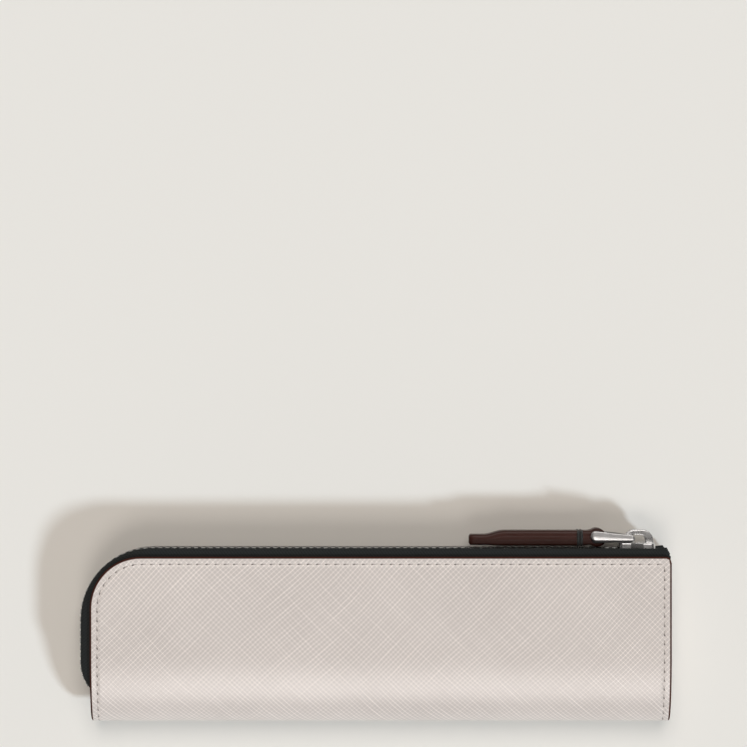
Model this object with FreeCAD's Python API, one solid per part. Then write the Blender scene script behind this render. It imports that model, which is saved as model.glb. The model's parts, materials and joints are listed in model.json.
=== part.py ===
import FreeCAD, Part
import math
import os

Vector = FreeCAD.Vector

# Driving dimensions in millimetres and degrees.
# X runs along the sleeve, Y from the fold to the zip, Z up; the back panel lies on Z = 0.

# Leather body
sleeve_length = 165.5
panel_height = 27.9
sleeve_thickness = 16.0
fold_reach = 19.5
zip_corner_radius = 14.6
seam_corner_radius = 1.5
leather_thickness = 1.2

# Inner layers
glue_line = 0.05
lining_thickness = 0.5
lining_inset = 1.2
padding_gap = 0.3

# Seams
seam_inset = 2.0
thread_diameter = 0.45
groove_clearance = 0.075
groove_depth = 0.55
stitch_pitch = 2.65
stitch_gap = 0.8

# End gusset
gusset_wall = 0.8
gusset_recess = 4.0
gusset_drop = 2.4

# Zip tape
tape_thickness = 0.6
tape_lap = 6.0
tape_bulge = 0.15
tape_shoulder = 1.6
tape_least_rise = 0.6
tape_end_inset = 0.5

# Zip chain
chain_offset_top = 1.4
chain_offset_left = 2.2
chain_corner_radius = 19.6
chain_turn_radius = 12.0
chain_turn_height = 17.2
chain_turn_angle = 48.0
tooth_pitch = 2.06
tooth_height = 2.0
tooth_reach = 2.6
tooth_overlap = 0.7
tooth_neck = 0.9
tooth_body = 1.3
tooth_head = 0.8
tooth_chamfer = 0.2
bead_reach = 2.1
row_spread = 1.5

# Zip stops
closing_stop_length = 1.4
closing_stop_width = 1.2
opening_stop_length = 2.2
opening_stop_gap = 0.3

# Slider
slider_length = 10.3
slider_rest_inset = 4.4
slider_throat = 6.9
slider_shoulder = 3.4
slider_plate = 1.2
slider_lip = 0.85
slider_corner_radius = 1.2
slider_edge_radius = 0.4
channel_clearance = 0.15
side_clearance = 0.2
tape_slot_above = 0.55
tape_slot_below = 0.45
diamond_width = 1.1
diamond_point = 0.4

# Slider crown
crown_length = 8.6
crown_height = 3.7
crown_width = 2.6
crown_nose_leg = 1.3
crown_tail_leg = 2.4
crown_band = 1.6
crown_radius = 3.3
crown_window_radius = 0.9
crown_tail_inset = 0.2
crown_edge_radius = 0.3
crown_peg_length = 0.9
crown_peg_width = 1.6
crown_peg_depth = 0.7

# Pull link
link_length = 9.85
link_rise = 0.45
pivot_bar_diameter = 1.2
pivot_inset = 0.85
pivot_height = 1.05
strap_bar_diameter = 2.0
link_tail_height = 1.5
link_head_height = 3.0
link_head_overhang = 1.8
link_arm = 1.0
link_clearance = 0.3
link_flare_start = 1.5
link_edge_radius = 0.3
link_bevel = 0.3

# Pull strap
strap_width = 6.5
strap_side_clearance = 0.2
strap_length = 36.6
strap_leaf = 1.6
strap_core = 1.2
strap_tip_thickness = 3.0
strap_tip_length = 5.0
strap_tip_taper = 3.0
strap_loop_clearance = 0.1
strap_edge_radius = 0.35
core_end_gap = 0.1

# Pull thread
wrap_diameter = 0.5
wrap_pitch = 0.95
wrap_count = 2
wrap_distance = 5.4
wrap_clearance = 0.02

# Cutting tools run this far past what they cut
cut_overrun = 1.0

# Counts and angles
corner_section_count = 9
turn_section_count = 6
arch_step_count = 3
nose_sample_count = 240
wrap_sample_count = 400
quarter_turn = math.pi / 2

# Derived places
right_x = sleeve_length / 2
left_x = -right_x
sleeve_height = panel_height + fold_reach
zip_y = sleeve_height / 2
fold_y = -zip_y
mid_z = sleeve_thickness / 2
fold_centre_y = fold_y + fold_reach
corner_x = left_x + zip_corner_radius
corner_y = zip_y - zip_corner_radius

layer_start = leather_thickness + glue_line
layer_end = layer_start + tape_thickness
lining_start = layer_end + glue_line
lining_end = lining_start + lining_thickness
layer_inset = tape_lap + padding_gap
gusset_x = right_x - gusset_recess - gusset_wall
groove_width = thread_diameter + 2 * groove_clearance

slider_tail_x = right_x - slider_rest_inset
slider_nose_x = slider_tail_x - slider_length
throat_x = slider_tail_x - slider_throat
shoulder_x = slider_tail_x - slider_shoulder

chain_y = zip_y + chain_offset_top
chain_left_x = left_x - chain_offset_left
chain_corner_x = chain_left_x + chain_corner_radius
chain_corner_y = chain_y - chain_corner_radius
turn_x = chain_left_x + chain_turn_radius
turn_y = fold_y + chain_turn_height
turn_angle = math.radians(chain_turn_angle)
top_run = shoulder_x - chain_corner_x
corner_run = chain_corner_radius * quarter_turn
left_run = chain_corner_y - turn_y
turn_run = chain_turn_radius * turn_angle
chain_run = top_run + corner_run + left_run + turn_run

channel_half_height = tooth_height / 2 + channel_clearance
channel_half_narrow = tooth_reach + side_clearance
channel_half_wide = channel_half_narrow + row_spread
slider_half_narrow = channel_half_narrow + slider_lip
slider_half_wide = channel_half_wide + slider_lip
slider_top_y = chain_y + channel_half_height + slider_plate
slider_bottom_y = chain_y - channel_half_height - slider_plate

crown_tail_x = slider_tail_x - crown_tail_inset
crown_nose_x = crown_tail_x - crown_length
pivot_x = crown_nose_x + crown_nose_leg + pivot_inset
pivot_y = slider_top_y + pivot_height
bar_x = pivot_x - link_length
bar_y = pivot_y + link_rise

strap_hole_radius = strap_bar_diameter / 2 + strap_loop_clearance
strap_loop_radius = strap_hole_radius + strap_leaf
strap_thickness = 2 * strap_leaf + strap_core
strap_y = bar_y
strap_tip_x = bar_x - strap_length
core_start_x = strap_tip_x + strap_tip_length + strap_tip_taper
core_end_x = bar_x - strap_loop_radius


# Shared shapes

def polygon_prism(points, direction):
    """A straight prism on a closed polygon."""
    return Part.Face(Part.makePolygon(points + points[:1])).extrude(direction)


def plan_prism(outline, y_from, y_to):
    """A prism along Y on an outline of (x, z) points."""
    points = [Vector(x, y_from, z) for x, z in outline]
    return polygon_prism(points, Vector(0, y_to - y_from, 0))


def side_prism(outline, z_from, z_to):
    """A prism along Z on an outline of (x, y) points."""
    points = [Vector(x, y, z_from) for x, y in outline]
    return polygon_prism(points, Vector(0, 0, z_to - z_from))


def z_cylinder(radius, x, y, half_length):
    """A cylinder along Z, centred on the middle plane."""
    start = Vector(x, y, mid_z - half_length)
    return Part.makeCylinder(radius, 2 * half_length, start, Vector(0, 0, 1))


def line(start, end):
    """A straight edge."""
    return Part.LineSegment(start, end).toShape()


def arc_edge(centre, radius, angle_from, angle_to):
    """A circular edge in an XY plane, through its own middle point."""
    angles = (angle_from, (angle_from + angle_to) / 2, angle_to)
    points = [centre + Vector(radius * math.cos(a), radius * math.sin(a), 0) for a in angles]
    return Part.Arc(*points).toShape()


def edges_where(shape, test):
    """The edges of a shape whose two ends both pass a test."""
    return [edge for edge in shape.Edges if all(test(vertex.Point) for vertex in edge.Vertexes)]


def near(value, target):
    """Whether two places agree within the glue line."""
    return abs(value - target) < glue_line


# The folded section: two parallel panels joined by half an ellipse

def fold_curve(depth, x):
    """The half ellipse of the fold, a depth below the outer face."""
    centre = Vector(x, fold_centre_y, mid_z)
    tip = centre + Vector(0, depth - fold_reach, 0)
    side = centre + Vector(0, 0, mid_z - depth)
    return Part.Ellipse(tip, side, centre).toShape(-quarter_turn, quarter_turn)


def fold_layer(depth_out, depth_in, x_from, x_to, y_top):
    """One layer of the folded section, between two depths below the outer face."""
    edges = [fold_curve(depth_out, x_from), fold_curve(depth_in, x_from)]
    for z_out, z_in in ((depth_out, depth_in), (sleeve_thickness - depth_out, sleeve_thickness - depth_in)):
        for z in (z_out, z_in):
            edges.append(line(Vector(x_from, fold_centre_y, z), Vector(x_from, y_top, z)))
        edges.append(line(Vector(x_from, y_top, z_out), Vector(x_from, y_top, z_in)))
    wire = Part.Wire(Part.__sortEdges__(edges))
    return Part.Face(wire).extrude(Vector(x_to - x_from, 0, 0))


def fold_core(depth, x_from, x_to, y_top):
    """Everything inside a depth below the outer face, up to a height."""
    low = depth
    high = sleeve_thickness - depth
    edges = [fold_curve(depth, x_from)]
    edges += [line(Vector(x_from, fold_centre_y, z), Vector(x_from, y_top, z)) for z in (low, high)]
    edges.append(line(Vector(x_from, y_top, low), Vector(x_from, y_top, high)))
    wire = Part.Wire(Part.__sortEdges__(edges))
    return Part.Face(wire).extrude(Vector(x_to - x_from, 0, 0))


def panel_prism(inset, x_right, y_low, z_from, z_to):
    """The panel's outline with its round zip corner, inset from the zip edges, as a prism along Z."""
    x_left = left_x + inset
    y_top = zip_y - inset
    radius = zip_corner_radius - inset
    low_left = Vector(x_left, y_low, z_from)
    low_right = Vector(x_right, y_low, z_from)
    left_top = Vector(x_left, corner_y, z_from)
    right_top = Vector(x_right, y_top - seam_corner_radius, z_from)
    corner = Vector(corner_x, corner_y, z_from)
    seam_corner = Vector(x_right - seam_corner_radius, y_top - seam_corner_radius, z_from)
    edges = [
        line(low_left, left_top),
        arc_edge(corner, radius, 2 * quarter_turn, quarter_turn),
        line(Vector(corner_x, y_top, z_from), Vector(seam_corner.x, y_top, z_from)),
        arc_edge(seam_corner, seam_corner_radius, quarter_turn, 0),
        line(right_top, low_right),
        line(low_right, low_left),
    ]
    return Part.Face(Part.Wire(edges)).extrude(Vector(0, 0, z_to - z_from))


def trimmed_layer(depth_out, depth_in, inset, x_right):
    """A layer of the folded section cut to the panel's outline."""
    layer = fold_layer(depth_out, depth_in, left_x, right_x, zip_y)
    outline = panel_prism(inset, x_right, fold_y - cut_overrun, -cut_overrun, sleeve_thickness + cut_overrun)
    return layer.common(outline)


# Leather, padding, lining and gusset

def seam_groove(z_from, z_to):
    """The stitching groove of one panel, a band that follows its zip and side edges."""
    near_edge = seam_inset - groove_width / 2
    far_edge = seam_inset + groove_width / 2
    outer = panel_prism(near_edge, right_x - near_edge, fold_centre_y, z_from, z_to)
    inner = panel_prism(far_edge, right_x - far_edge, fold_centre_y - cut_overrun, z_from, z_to)
    return outer.cut(inner)


def fold_groove(x):
    """The stitching groove round the fold at one end."""
    x_from = x - groove_width / 2
    x_to = x + groove_width / 2
    return fold_layer(-cut_overrun, groove_depth, x_from, x_to, fold_centre_y + groove_width)


def outer_shell():
    """One sheet of leather folded at the bottom, with grooves for the stitches."""
    shell = trimmed_layer(0, leather_thickness, 0, right_x)
    grooves = [
        seam_groove(sleeve_thickness - groove_depth, sleeve_thickness + cut_overrun),
        seam_groove(-cut_overrun, groove_depth),
        fold_groove(left_x + seam_inset),
        fold_groove(right_x - seam_inset),
    ]
    return shell.cut(grooves)


def padding():
    """The interlining between leather and lining, clear of the tapes and the gusset flange."""
    return trimmed_layer(layer_start, layer_end, layer_inset, gusset_x - padding_gap)


def lining():
    """The textile lining, one folded sheet up to the gusset, notched where the tapes tuck in."""
    sheet = trimmed_layer(lining_start, lining_end, lining_inset, gusset_x - glue_line)
    tuck_x = turn_x - chain_turn_radius * math.cos(turn_angle)
    tuck_y = turn_y - chain_turn_radius * math.sin(turn_angle)
    notch_width = tuck_x - left_x + tape_least_rise + tape_thickness + padding_gap
    notch_height = turn_y - tuck_y + padding_gap
    notch = Part.makeBox(notch_width, notch_height, sleeve_thickness)
    notch.translate(Vector(left_x, tuck_y - padding_gap, 0))
    return sheet.cut(notch)


def end_gusset():
    """The wall that closes the sewn end, with a flange turned out under the leather's edge."""
    wall = fold_core(lining_start, gusset_x, gusset_x + gusset_wall, zip_y - gusset_drop)
    flange = fold_layer(layer_start, lining_start, gusset_x, right_x, zip_y - layer_inset)
    return wall.fuse(flange).removeSplitter()


# Zip chain

def chain_station(distance):
    """Place and outward angle on the chain's middle line, a distance from its closed end."""
    if distance <= top_run:
        return Vector(shoulder_x - distance, chain_y, mid_z), quarter_turn
    distance -= top_run
    if distance <= corner_run:
        angle = quarter_turn + distance / chain_corner_radius
        offset = Vector(math.cos(angle), math.sin(angle), 0) * chain_corner_radius
        return Vector(chain_corner_x, chain_corner_y, mid_z) + offset, angle
    distance -= corner_run
    if distance <= left_run:
        return Vector(chain_left_x, chain_corner_y - distance, mid_z), 2 * quarter_turn
    angle = 2 * quarter_turn + (distance - left_run) / chain_turn_radius
    offset = Vector(math.cos(angle), math.sin(angle), 0) * chain_turn_radius
    return Vector(turn_x, turn_y, mid_z) + offset, angle


def row_offset(x):
    """How far each row stands off the middle plane inside the slider's mouth."""
    share = (x - throat_x) / (shoulder_x - throat_x)
    return row_spread * min(max(share, 0), 1)


def set_on_chain(shape, distance, side):
    """A copy of a shape set on one row of the chain."""
    place, angle = chain_station(distance)
    place += Vector(0, 0, side * row_offset(place.x))
    turn = FreeCAD.Rotation(Vector(0, 0, 1), math.degrees(angle - quarter_turn))
    copy = shape.copy()
    copy.Placement = FreeCAD.Placement(place, turn)
    return copy


def tooth(side):
    """One tooth: a jaw on the tape's bead and a narrower head past the middle plane."""
    half_body = tooth_body / 2
    half_head = tooth_head / 2
    tip = -tooth_overlap
    outline = [
        (-half_body, tooth_reach),
        (-half_body, tooth_neck + tooth_chamfer),
        (-half_head, tooth_neck),
        (-half_head, tip + tooth_chamfer),
        (tooth_chamfer - half_head, tip),
        (half_head - tooth_chamfer, tip),
        (half_head, tip + tooth_chamfer),
        (half_head, tooth_neck),
        (half_body, tooth_neck + tooth_chamfer),
        (half_body, tooth_reach),
    ]
    block = plan_prism([(x, side * z) for x, z in outline], -tooth_height / 2, tooth_height / 2)
    jaw_edges = edges_where(block, lambda p: near(abs(p.z), tooth_reach))
    return block.makeChamfer(tooth_chamfer, jaw_edges)


def teeth(side):
    """One row of teeth; the rows are half a pitch apart."""
    start = 0 if side > 0 else tooth_pitch / 2
    count = int((chain_run - start) / tooth_pitch) + 1
    pattern = tooth(side)
    return Part.makeCompound([set_on_chain(pattern, start + k * tooth_pitch, side) for k in range(count)])


def closing_stops():
    """A stop on each tape in the slider's mouth, beyond the last tooth."""
    x_from = shoulder_x + tooth_body
    x_to = x_from + closing_stop_length
    inner = bead_reach - closing_stop_width / 2 + row_spread
    outer = inner + closing_stop_width
    half_height = tooth_height / 2
    stops = []
    for side in (1, -1):
        outline = [(x_from, inner), (x_to, inner), (x_to, outer), (x_from, outer)]
        points = [(x, mid_z + side * z) for x, z in outline]
        stops.append(plan_prism(points, chain_y - half_height, chain_y + half_height))
    return Part.makeCompound(stops)


def opening_stop():
    """The block that joins both rows at the end of the chain."""
    start = tooth_body / 2 + opening_stop_gap
    half_height = tooth_height / 2
    block = Part.makeBox(opening_stop_length, tooth_height, 2 * tooth_reach)
    block.translate(Vector(-start - opening_stop_length, -half_height, -tooth_reach))
    block = block.makeFillet(tooth_chamfer, block.Edges)
    last = int(2 * chain_run / tooth_pitch) * tooth_pitch / 2
    return set_on_chain(block, last, 0)


# Zip tapes

def tape_profile(edge, outward, offset, seam_half, bead_half, side):
    """A tape's section as a closed wire: seam flange, quarter-ellipse shoulder and run to the bead.

    The middle line is laid out as distance outside the leather edge and height over the middle plane,
    then thickened by half the tape to either side."""
    crest = offset + tape_bulge
    bend = min(0, crest - tape_least_rise)
    middle = [(-tape_lap, seam_half), (bend, seam_half)]
    for step in range(1, arch_step_count + 1):
        angle = quarter_turn * step / arch_step_count
        out = bend + (crest - bend) * math.sin(angle)
        middle.append((out, seam_half - tape_shoulder * (1 - math.cos(angle))))
    middle.append((offset, bead_half))
    upper = []
    lower = []
    for index, (out, height) in enumerate(middle):
        before = middle[max(index - 1, 0)]
        after = middle[min(index + 1, len(middle) - 1)]
        run = math.hypot(after[0] - before[0], after[1] - before[1])
        normal = ((before[1] - after[1]) / run, (after[0] - before[0]) / run)
        half = tape_thickness / 2
        upper.append((out + half * normal[0], height + half * normal[1]))
        lower.append((out - half * normal[0], height - half * normal[1]))
    points = [edge + outward * out + Vector(0, 0, side * height) for out, height in upper + lower[::-1]]
    return Part.makePolygon(points + points[:1])


def seam_half_height(y):
    """Height of the tape's flange over the middle plane: level on the panel, lower round the fold."""
    depth = layer_start + tape_thickness / 2
    share = max(fold_centre_y - y, 0) / (fold_reach - depth)
    return (mid_z - depth) * math.sqrt(1 - share ** 2)


def tape_sections(side):
    """The tape's sections from its closed end, along the top, round the corner and down to the tuck."""
    panel_half = seam_half_height(zip_y)
    sections = []
    for x in (right_x - tape_end_inset, shoulder_x, throat_x, chain_corner_x):
        edge = Vector(x, zip_y, mid_z)
        bead = bead_reach + row_offset(x)
        sections.append(tape_profile(edge, Vector(0, 1, 0), chain_offset_top, panel_half, bead, side))
    centre_gap = Vector(corner_x - chain_corner_x, corner_y - chain_corner_y, 0)
    for index in range(corner_section_count):
        angle = quarter_turn * (1 + index / (corner_section_count - 1))
        outward = Vector(math.cos(angle), math.sin(angle), 0)
        edge = Vector(corner_x, corner_y, mid_z) + outward * zip_corner_radius
        along = centre_gap.dot(outward)
        across = centre_gap.dot(centre_gap) - along ** 2
        reach = math.sqrt(chain_corner_radius ** 2 - across) - along
        offset = reach - zip_corner_radius
        sections.append(tape_profile(edge, outward, offset, panel_half, bead_reach, side))
    stations = [(chain_left_x, chain_corner_y), (chain_left_x, fold_centre_y)]
    for index in range(turn_section_count):
        angle = turn_angle * index / (turn_section_count - 1)
        x = turn_x - chain_turn_radius * math.cos(angle)
        stations.append((x, turn_y - chain_turn_radius * math.sin(angle)))
    for x, y in stations:
        edge = Vector(left_x, y, mid_z)
        flange_half = seam_half_height(y)
        sections.append(tape_profile(edge, Vector(-1, 0, 0), left_x - x, flange_half, bead_reach, side))
    return sections


def tape(side):
    """One zip tape as a strip through its sections."""
    return Part.makeLoft(tape_sections(side), True, True)


# Seam threads

def nose_walk(x, angle_from, angle_to):
    """Places and directions of stitches round the fold, equally spaced along the curve."""
    depth = groove_depth - thread_diameter / 2 - glue_line
    long_axis = fold_reach - depth
    short_axis = mid_z - depth
    walk = []
    travelled = 0
    due = stitch_pitch / 2
    step = (angle_to - angle_from) / nose_sample_count
    for index in range(nose_sample_count):
        angle = angle_from + step * (index + 1)
        speed = Vector(0, long_axis * math.sin(angle), short_axis * math.cos(angle))
        travelled += speed.Length * abs(step)
        if travelled >= due:
            y = fold_centre_y - long_axis * math.cos(angle)
            z = mid_z + short_axis * math.sin(angle)
            walk.append((Vector(x, y, z), speed))
            due += stitch_pitch
    return walk


def straight_walk(start, end):
    """Places and directions of stitches along a straight run."""
    direction = end - start
    count = int(direction.Length / stitch_pitch)
    unit = direction / direction.Length
    return [(start + unit * (stitch_pitch * (k + 1 / 2)), unit) for k in range(count)]


def corner_walk(z):
    """Places and directions of stitches round the zip corner."""
    radius = zip_corner_radius - seam_inset
    count = int(radius * quarter_turn / stitch_pitch)
    walk = []
    for k in range(count):
        angle = quarter_turn * (1 + (k + 1 / 2) / count)
        outward = Vector(math.cos(angle), math.sin(angle), 0)
        place = Vector(corner_x, corner_y, z) + outward * radius
        walk.append((place, Vector(-outward.y, outward.x, 0)))
    return walk


def stitch():
    """One stitch: a round-ended length of thread along X."""
    radius = thread_diameter / 2
    half = (stitch_pitch - stitch_gap) / 2
    shoulder = half - radius
    edges = [
        line(Vector(-half, 0, 0), Vector(half, 0, 0)),
        arc_edge(Vector(shoulder, 0, 0), radius, 0, quarter_turn),
        line(Vector(shoulder, radius, 0), Vector(-shoulder, radius, 0)),
        arc_edge(Vector(-shoulder, 0, 0), radius, quarter_turn, 2 * quarter_turn),
    ]
    face = Part.Face(Part.Wire(edges))
    return face.revolve(Vector(0, 0, 0), Vector(1, 0, 0), math.degrees(4 * quarter_turn))


def sewn(walk):
    """A group of stitches, one at each place of a walk."""
    pattern = stitch()
    group = []
    for place, direction in walk:
        copy = pattern.copy()
        copy.Placement = FreeCAD.Placement(place, FreeCAD.Rotation(Vector(1, 0, 0), direction))
        group.append(copy)
    return Part.makeCompound(group)


def thread_level(side):
    """Height of a panel's stitches, resting on the floor of the groove."""
    return mid_z + side * (mid_z - groove_depth + thread_diameter / 2 + glue_line)


def zip_seam(side):
    """The seam that holds one tape: along the top, round the corner and down to the fold's tip."""
    z = thread_level(side)
    top = zip_y - seam_inset
    left = left_x + seam_inset
    walk = straight_walk(Vector(right_x - seam_inset, top, z), Vector(corner_x, top, z))
    walk += corner_walk(z)
    walk += straight_walk(Vector(left, corner_y, z), Vector(left, fold_centre_y, z))
    walk += nose_walk(left, side * quarter_turn, 0)
    return sewn(walk)


def side_seam():
    """The seam of the gusset: down the front, round the fold and up the back."""
    x = right_x - seam_inset
    top = zip_y - seam_inset
    walk = nose_walk(x, quarter_turn, -quarter_turn)
    for side in (1, -1):
        z = thread_level(side)
        walk += straight_walk(Vector(x, top, z), Vector(x, fold_centre_y, z))
    return sewn(walk)


# Slider and crown

def mirrored(outline):
    """An outline of (x, half width) points closed by its mirror image in the middle plane."""
    upper = [(x, mid_z + half) for x, half in outline]
    lower = [(x, mid_z - half) for x, half in reversed(outline)]
    return upper + lower


def slider_block():
    """The slider's outside: narrow at the nose, wide at the mouth, with round corners and edges."""
    outline = [
        (slider_nose_x, slider_half_narrow),
        (throat_x, slider_half_narrow),
        (shoulder_x, slider_half_wide),
        (slider_tail_x, slider_half_wide),
    ]
    block = plan_prism(mirrored(outline), slider_bottom_y, slider_top_y)

    def on_end(p):
        return near(p.x, slider_nose_x) or near(p.x, slider_tail_x)

    corners = [e for e in edges_where(block, on_end) if near(e.Length, slider_top_y - slider_bottom_y)]
    block = block.makeFillet(slider_corner_radius, corners)
    rims = edges_where(block, lambda p: near(p.y, slider_top_y))
    rims += edges_where(block, lambda p: near(p.y, slider_bottom_y))
    return block.makeFillet(slider_edge_radius, rims)


def slider_body():
    """Two plates with lips round the chain, joined by the diamond that parts the rows."""
    low = chain_y - channel_half_height
    high = chain_y + channel_half_height
    start = slider_nose_x - cut_overrun
    end = slider_tail_x + cut_overrun
    channel = mirrored([
        (start, channel_half_narrow),
        (throat_x, channel_half_narrow),
        (shoulder_x, channel_half_wide),
        (end, channel_half_wide),
    ])
    wide = slider_half_wide + cut_overrun
    slot = mirrored([(start, wide), (end, wide)])
    diamond = mirrored([
        (shoulder_x - diamond_point, 0),
        (shoulder_x + diamond_width, diamond_width / 2),
        (slider_tail_x - diamond_point, diamond_width / 2),
    ])
    body = slider_block()
    body = body.cut(plan_prism(channel, low, high))
    body = body.cut(plan_prism(slot, chain_y - tape_slot_below, chain_y + tape_slot_above))
    body = body.fuse(plan_prism(diamond[:-1], low, high))
    return body.cut(crown_pegs(glue_line)).removeSplitter()


def crown_pegs(clearance):
    """The crown's two pegs in the slider's upper plate, grown by a clearance for their pockets."""
    half_length = crown_peg_length / 2 + clearance
    half_width = crown_peg_width / 2 + clearance
    depth = crown_peg_depth + clearance
    pegs = []
    for x in (crown_nose_x + crown_nose_leg / 2, crown_tail_x - crown_tail_leg / 2):
        peg = Part.makeBox(2 * half_length, depth, 2 * half_width)
        peg.translate(Vector(x - half_length, slider_top_y - depth, mid_z - half_width))
        pegs.append(peg)
    return pegs


def arch_prism(x_from, x_to, height, radius, half_width):
    """A block on the slider's top with two rounded upper corners."""
    z = mid_z - half_width
    base = slider_top_y
    left = Vector(x_from + radius, base + height - radius, z)
    right = Vector(x_to - radius, base + height - radius, z)
    edges = [
        line(Vector(x_from, base, z), Vector(x_from, left.y, z)),
        arc_edge(left, radius, 2 * quarter_turn, quarter_turn),
        line(Vector(left.x, base + height, z), Vector(right.x, base + height, z)),
        arc_edge(right, radius, quarter_turn, 0),
        line(Vector(x_to, right.y, z), Vector(x_to, base, z)),
        line(Vector(x_to, base, z), Vector(x_from, base, z)),
    ]
    return Part.Face(Part.Wire(edges)).extrude(Vector(0, 0, 2 * half_width))


def slider_crown():
    """The arch on the slider, with a window for the link and pegs into the plate."""
    half_width = crown_width / 2
    arch = arch_prism(crown_nose_x, crown_tail_x, crown_height, crown_radius, half_width)

    def on_rim(p):
        return near(abs(p.z - mid_z), half_width) and p.y > slider_top_y - glue_line

    rims = [e for e in edges_where(arch, on_rim) if not near(e.BoundBox.YMax, slider_top_y)]
    rims = [e for e in rims if near(e.BoundBox.ZLength, 0)]
    arch = arch.makeFillet(crown_edge_radius, rims)
    window_height = crown_height - crown_band
    window = arch_prism(
        crown_nose_x + crown_nose_leg,
        crown_tail_x - crown_tail_leg,
        window_height,
        crown_window_radius,
        half_width + cut_overrun,
    )
    return arch.cut(window).fuse(crown_pegs(0)).removeSplitter()


# Pull

def pull_link():
    """A closed frame: a bar through the crown, two arms that flare round it, a bar for the strap."""
    tail_half = link_tail_height / 2
    head_half = link_head_height / 2
    head_x = bar_x - link_head_overhang
    inner_tail = crown_width / 2 + link_clearance
    inner_head = strap_width / 2 + strap_side_clearance
    flare_from = pivot_x - link_flare_start
    flare_to = bar_x + strap_loop_radius + link_clearance
    widest = inner_head + link_arm + cut_overrun
    profile = [
        (pivot_x, pivot_y + tail_half),
        (head_x, bar_y + head_half),
        (head_x, bar_y - head_half),
        (pivot_x, pivot_y - tail_half),
    ]
    side_view = side_prism(profile, mid_z - widest, mid_z + widest)
    head_edges = edges_where(side_view, lambda p: near(p.x, head_x))
    head_edges = [e for e in head_edges if near(e.Length, 2 * widest)]
    side_view = side_view.makeFillet(head_half - link_edge_radius, head_edges)
    side_view = side_view.fuse(z_cylinder(tail_half, pivot_x, pivot_y, widest)).removeSplitter()
    stops = (head_x - cut_overrun, flare_to, flare_from, pivot_x + tail_half + cut_overrun)
    halves = (inner_head, inner_head, inner_tail, inner_tail)
    outer = mirrored([(x, half + link_arm) for x, half in zip(stops, halves)])
    inner = mirrored(list(zip(stops, halves)))
    y_from = bar_y - head_half - cut_overrun
    y_to = bar_y + head_half + cut_overrun
    plan_view = plan_prism(outer, y_from, y_to).cut(plan_prism(inner, y_from, y_to))
    arms = side_view.common(plan_view)

    def on_outside(p):
        flare = min(max((p.x - flare_to) / (flare_from - flare_to), 0), 1)
        return near(abs(p.z - mid_z), inner_head + (inner_tail - inner_head) * flare + link_arm)

    def on_bend(edge):
        low = edge.BoundBox.XMin
        high = edge.BoundBox.XMax
        return any(near(low, x) and near(high, x) for x in (flare_from, flare_to))

    rims = [edge for edge in edges_where(arms, on_outside) if not on_bend(edge)]
    arms = arms.makeChamfer(link_bevel, rims)
    pivot_bar = z_cylinder(pivot_bar_diameter / 2, pivot_x, pivot_y, inner_tail + link_arm / 2)
    strap_bar = z_cylinder(strap_bar_diameter / 2, bar_x, bar_y, inner_head + link_arm / 2)
    return arms.fuse([pivot_bar, strap_bar]).removeSplitter()


def strap_outline():
    """The strap's side view from the loop's centre to the thin tip."""
    half = strap_thickness / 2
    tip_half = strap_tip_thickness / 2
    taper_x = strap_tip_x + strap_tip_length
    body_x = taper_x + strap_tip_taper
    upper = [(strap_tip_x, tip_half), (taper_x, tip_half), (body_x, half), (bar_x, half)]
    points = [(x, strap_y + y) for x, y in upper]
    return points + [(x, strap_y - y) for x, y in reversed(upper)]


def pull_strap():
    """A leather strip folded round the link's bar, its leaves closed at the tip."""
    half_width = strap_width / 2
    body = side_prism(strap_outline(), mid_z - half_width, mid_z + half_width)
    loop = z_cylinder(strap_loop_radius, bar_x, bar_y, half_width)
    strap = body.fuse(loop).removeSplitter()

    def on_tip(p):
        return near(p.x, strap_tip_x)

    tip = [e for e in edges_where(strap, on_tip) if near(e.Length, strap_tip_thickness)]
    strap = strap.makeFillet(strap_tip_taper / 2, tip)
    rims = edges_where(strap, lambda p: near(abs(p.z - mid_z), half_width))
    strap = strap.makeFillet(strap_edge_radius, [e for e in rims if near(e.BoundBox.ZLength, 0)])
    slot_half = strap_core / 2
    slot = [
        (core_start_x, strap_y - slot_half),
        (bar_x, strap_y - slot_half),
        (bar_x, strap_y + slot_half),
        (core_start_x, strap_y + slot_half),
    ]
    z_from = mid_z - half_width - cut_overrun
    z_to = mid_z + half_width + cut_overrun
    strap = strap.cut(side_prism(slot, z_from, z_to))
    return strap.cut(z_cylinder(strap_hole_radius, bar_x, bar_y, half_width + cut_overrun))


def pull_core():
    """The filler strip between the strap's leaves."""
    half = strap_core / 2 - glue_line
    half_width = strap_width / 2 - strap_edge_radius
    start = core_start_x + core_end_gap
    outline = [
        (start, strap_y - half),
        (core_end_x, strap_y - half),
        (core_end_x, strap_y + half),
        (start, strap_y + half),
    ]
    return side_prism(outline, mid_z - half_width, mid_z + half_width)


def wrap_route():
    """Corners of the winding: square turns round the strap, each stepping along it on the back side."""
    stand = wrap_diameter / 2 + wrap_clearance
    half_y = strap_thickness / 2 + stand
    half_z = strap_width / 2 + stand
    route = []
    for turn in range(wrap_count):
        x = bar_x - wrap_distance + turn * wrap_pitch
        for sign_y, sign_z in ((1, -1), (1, 1), (-1, 1), (-1, -1)):
            route.append(Vector(x, strap_y + sign_y * half_y, mid_z + sign_z * half_z))
    return route


def rounded_route(route, radius):
    """Straight runs through a route of square corners, joined by tangent arcs."""
    edges = []
    start = route[0]
    for before, corner, after in zip(route, route[1:], route[2:]):
        arriving = (corner - before).normalize() * radius
        leaving = (after - corner).normalize() * radius
        centre = corner - arriving + leaving
        middle = centre + (arriving - leaving) / math.sqrt(2)
        edges.append(line(start, corner - arriving))
        edges.append(Part.Arc(corner - arriving, middle, corner + leaving).toShape())
        start = corner + leaving
    edges.append(line(start, route[-1]))
    return Part.Wire(edges)


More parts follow.
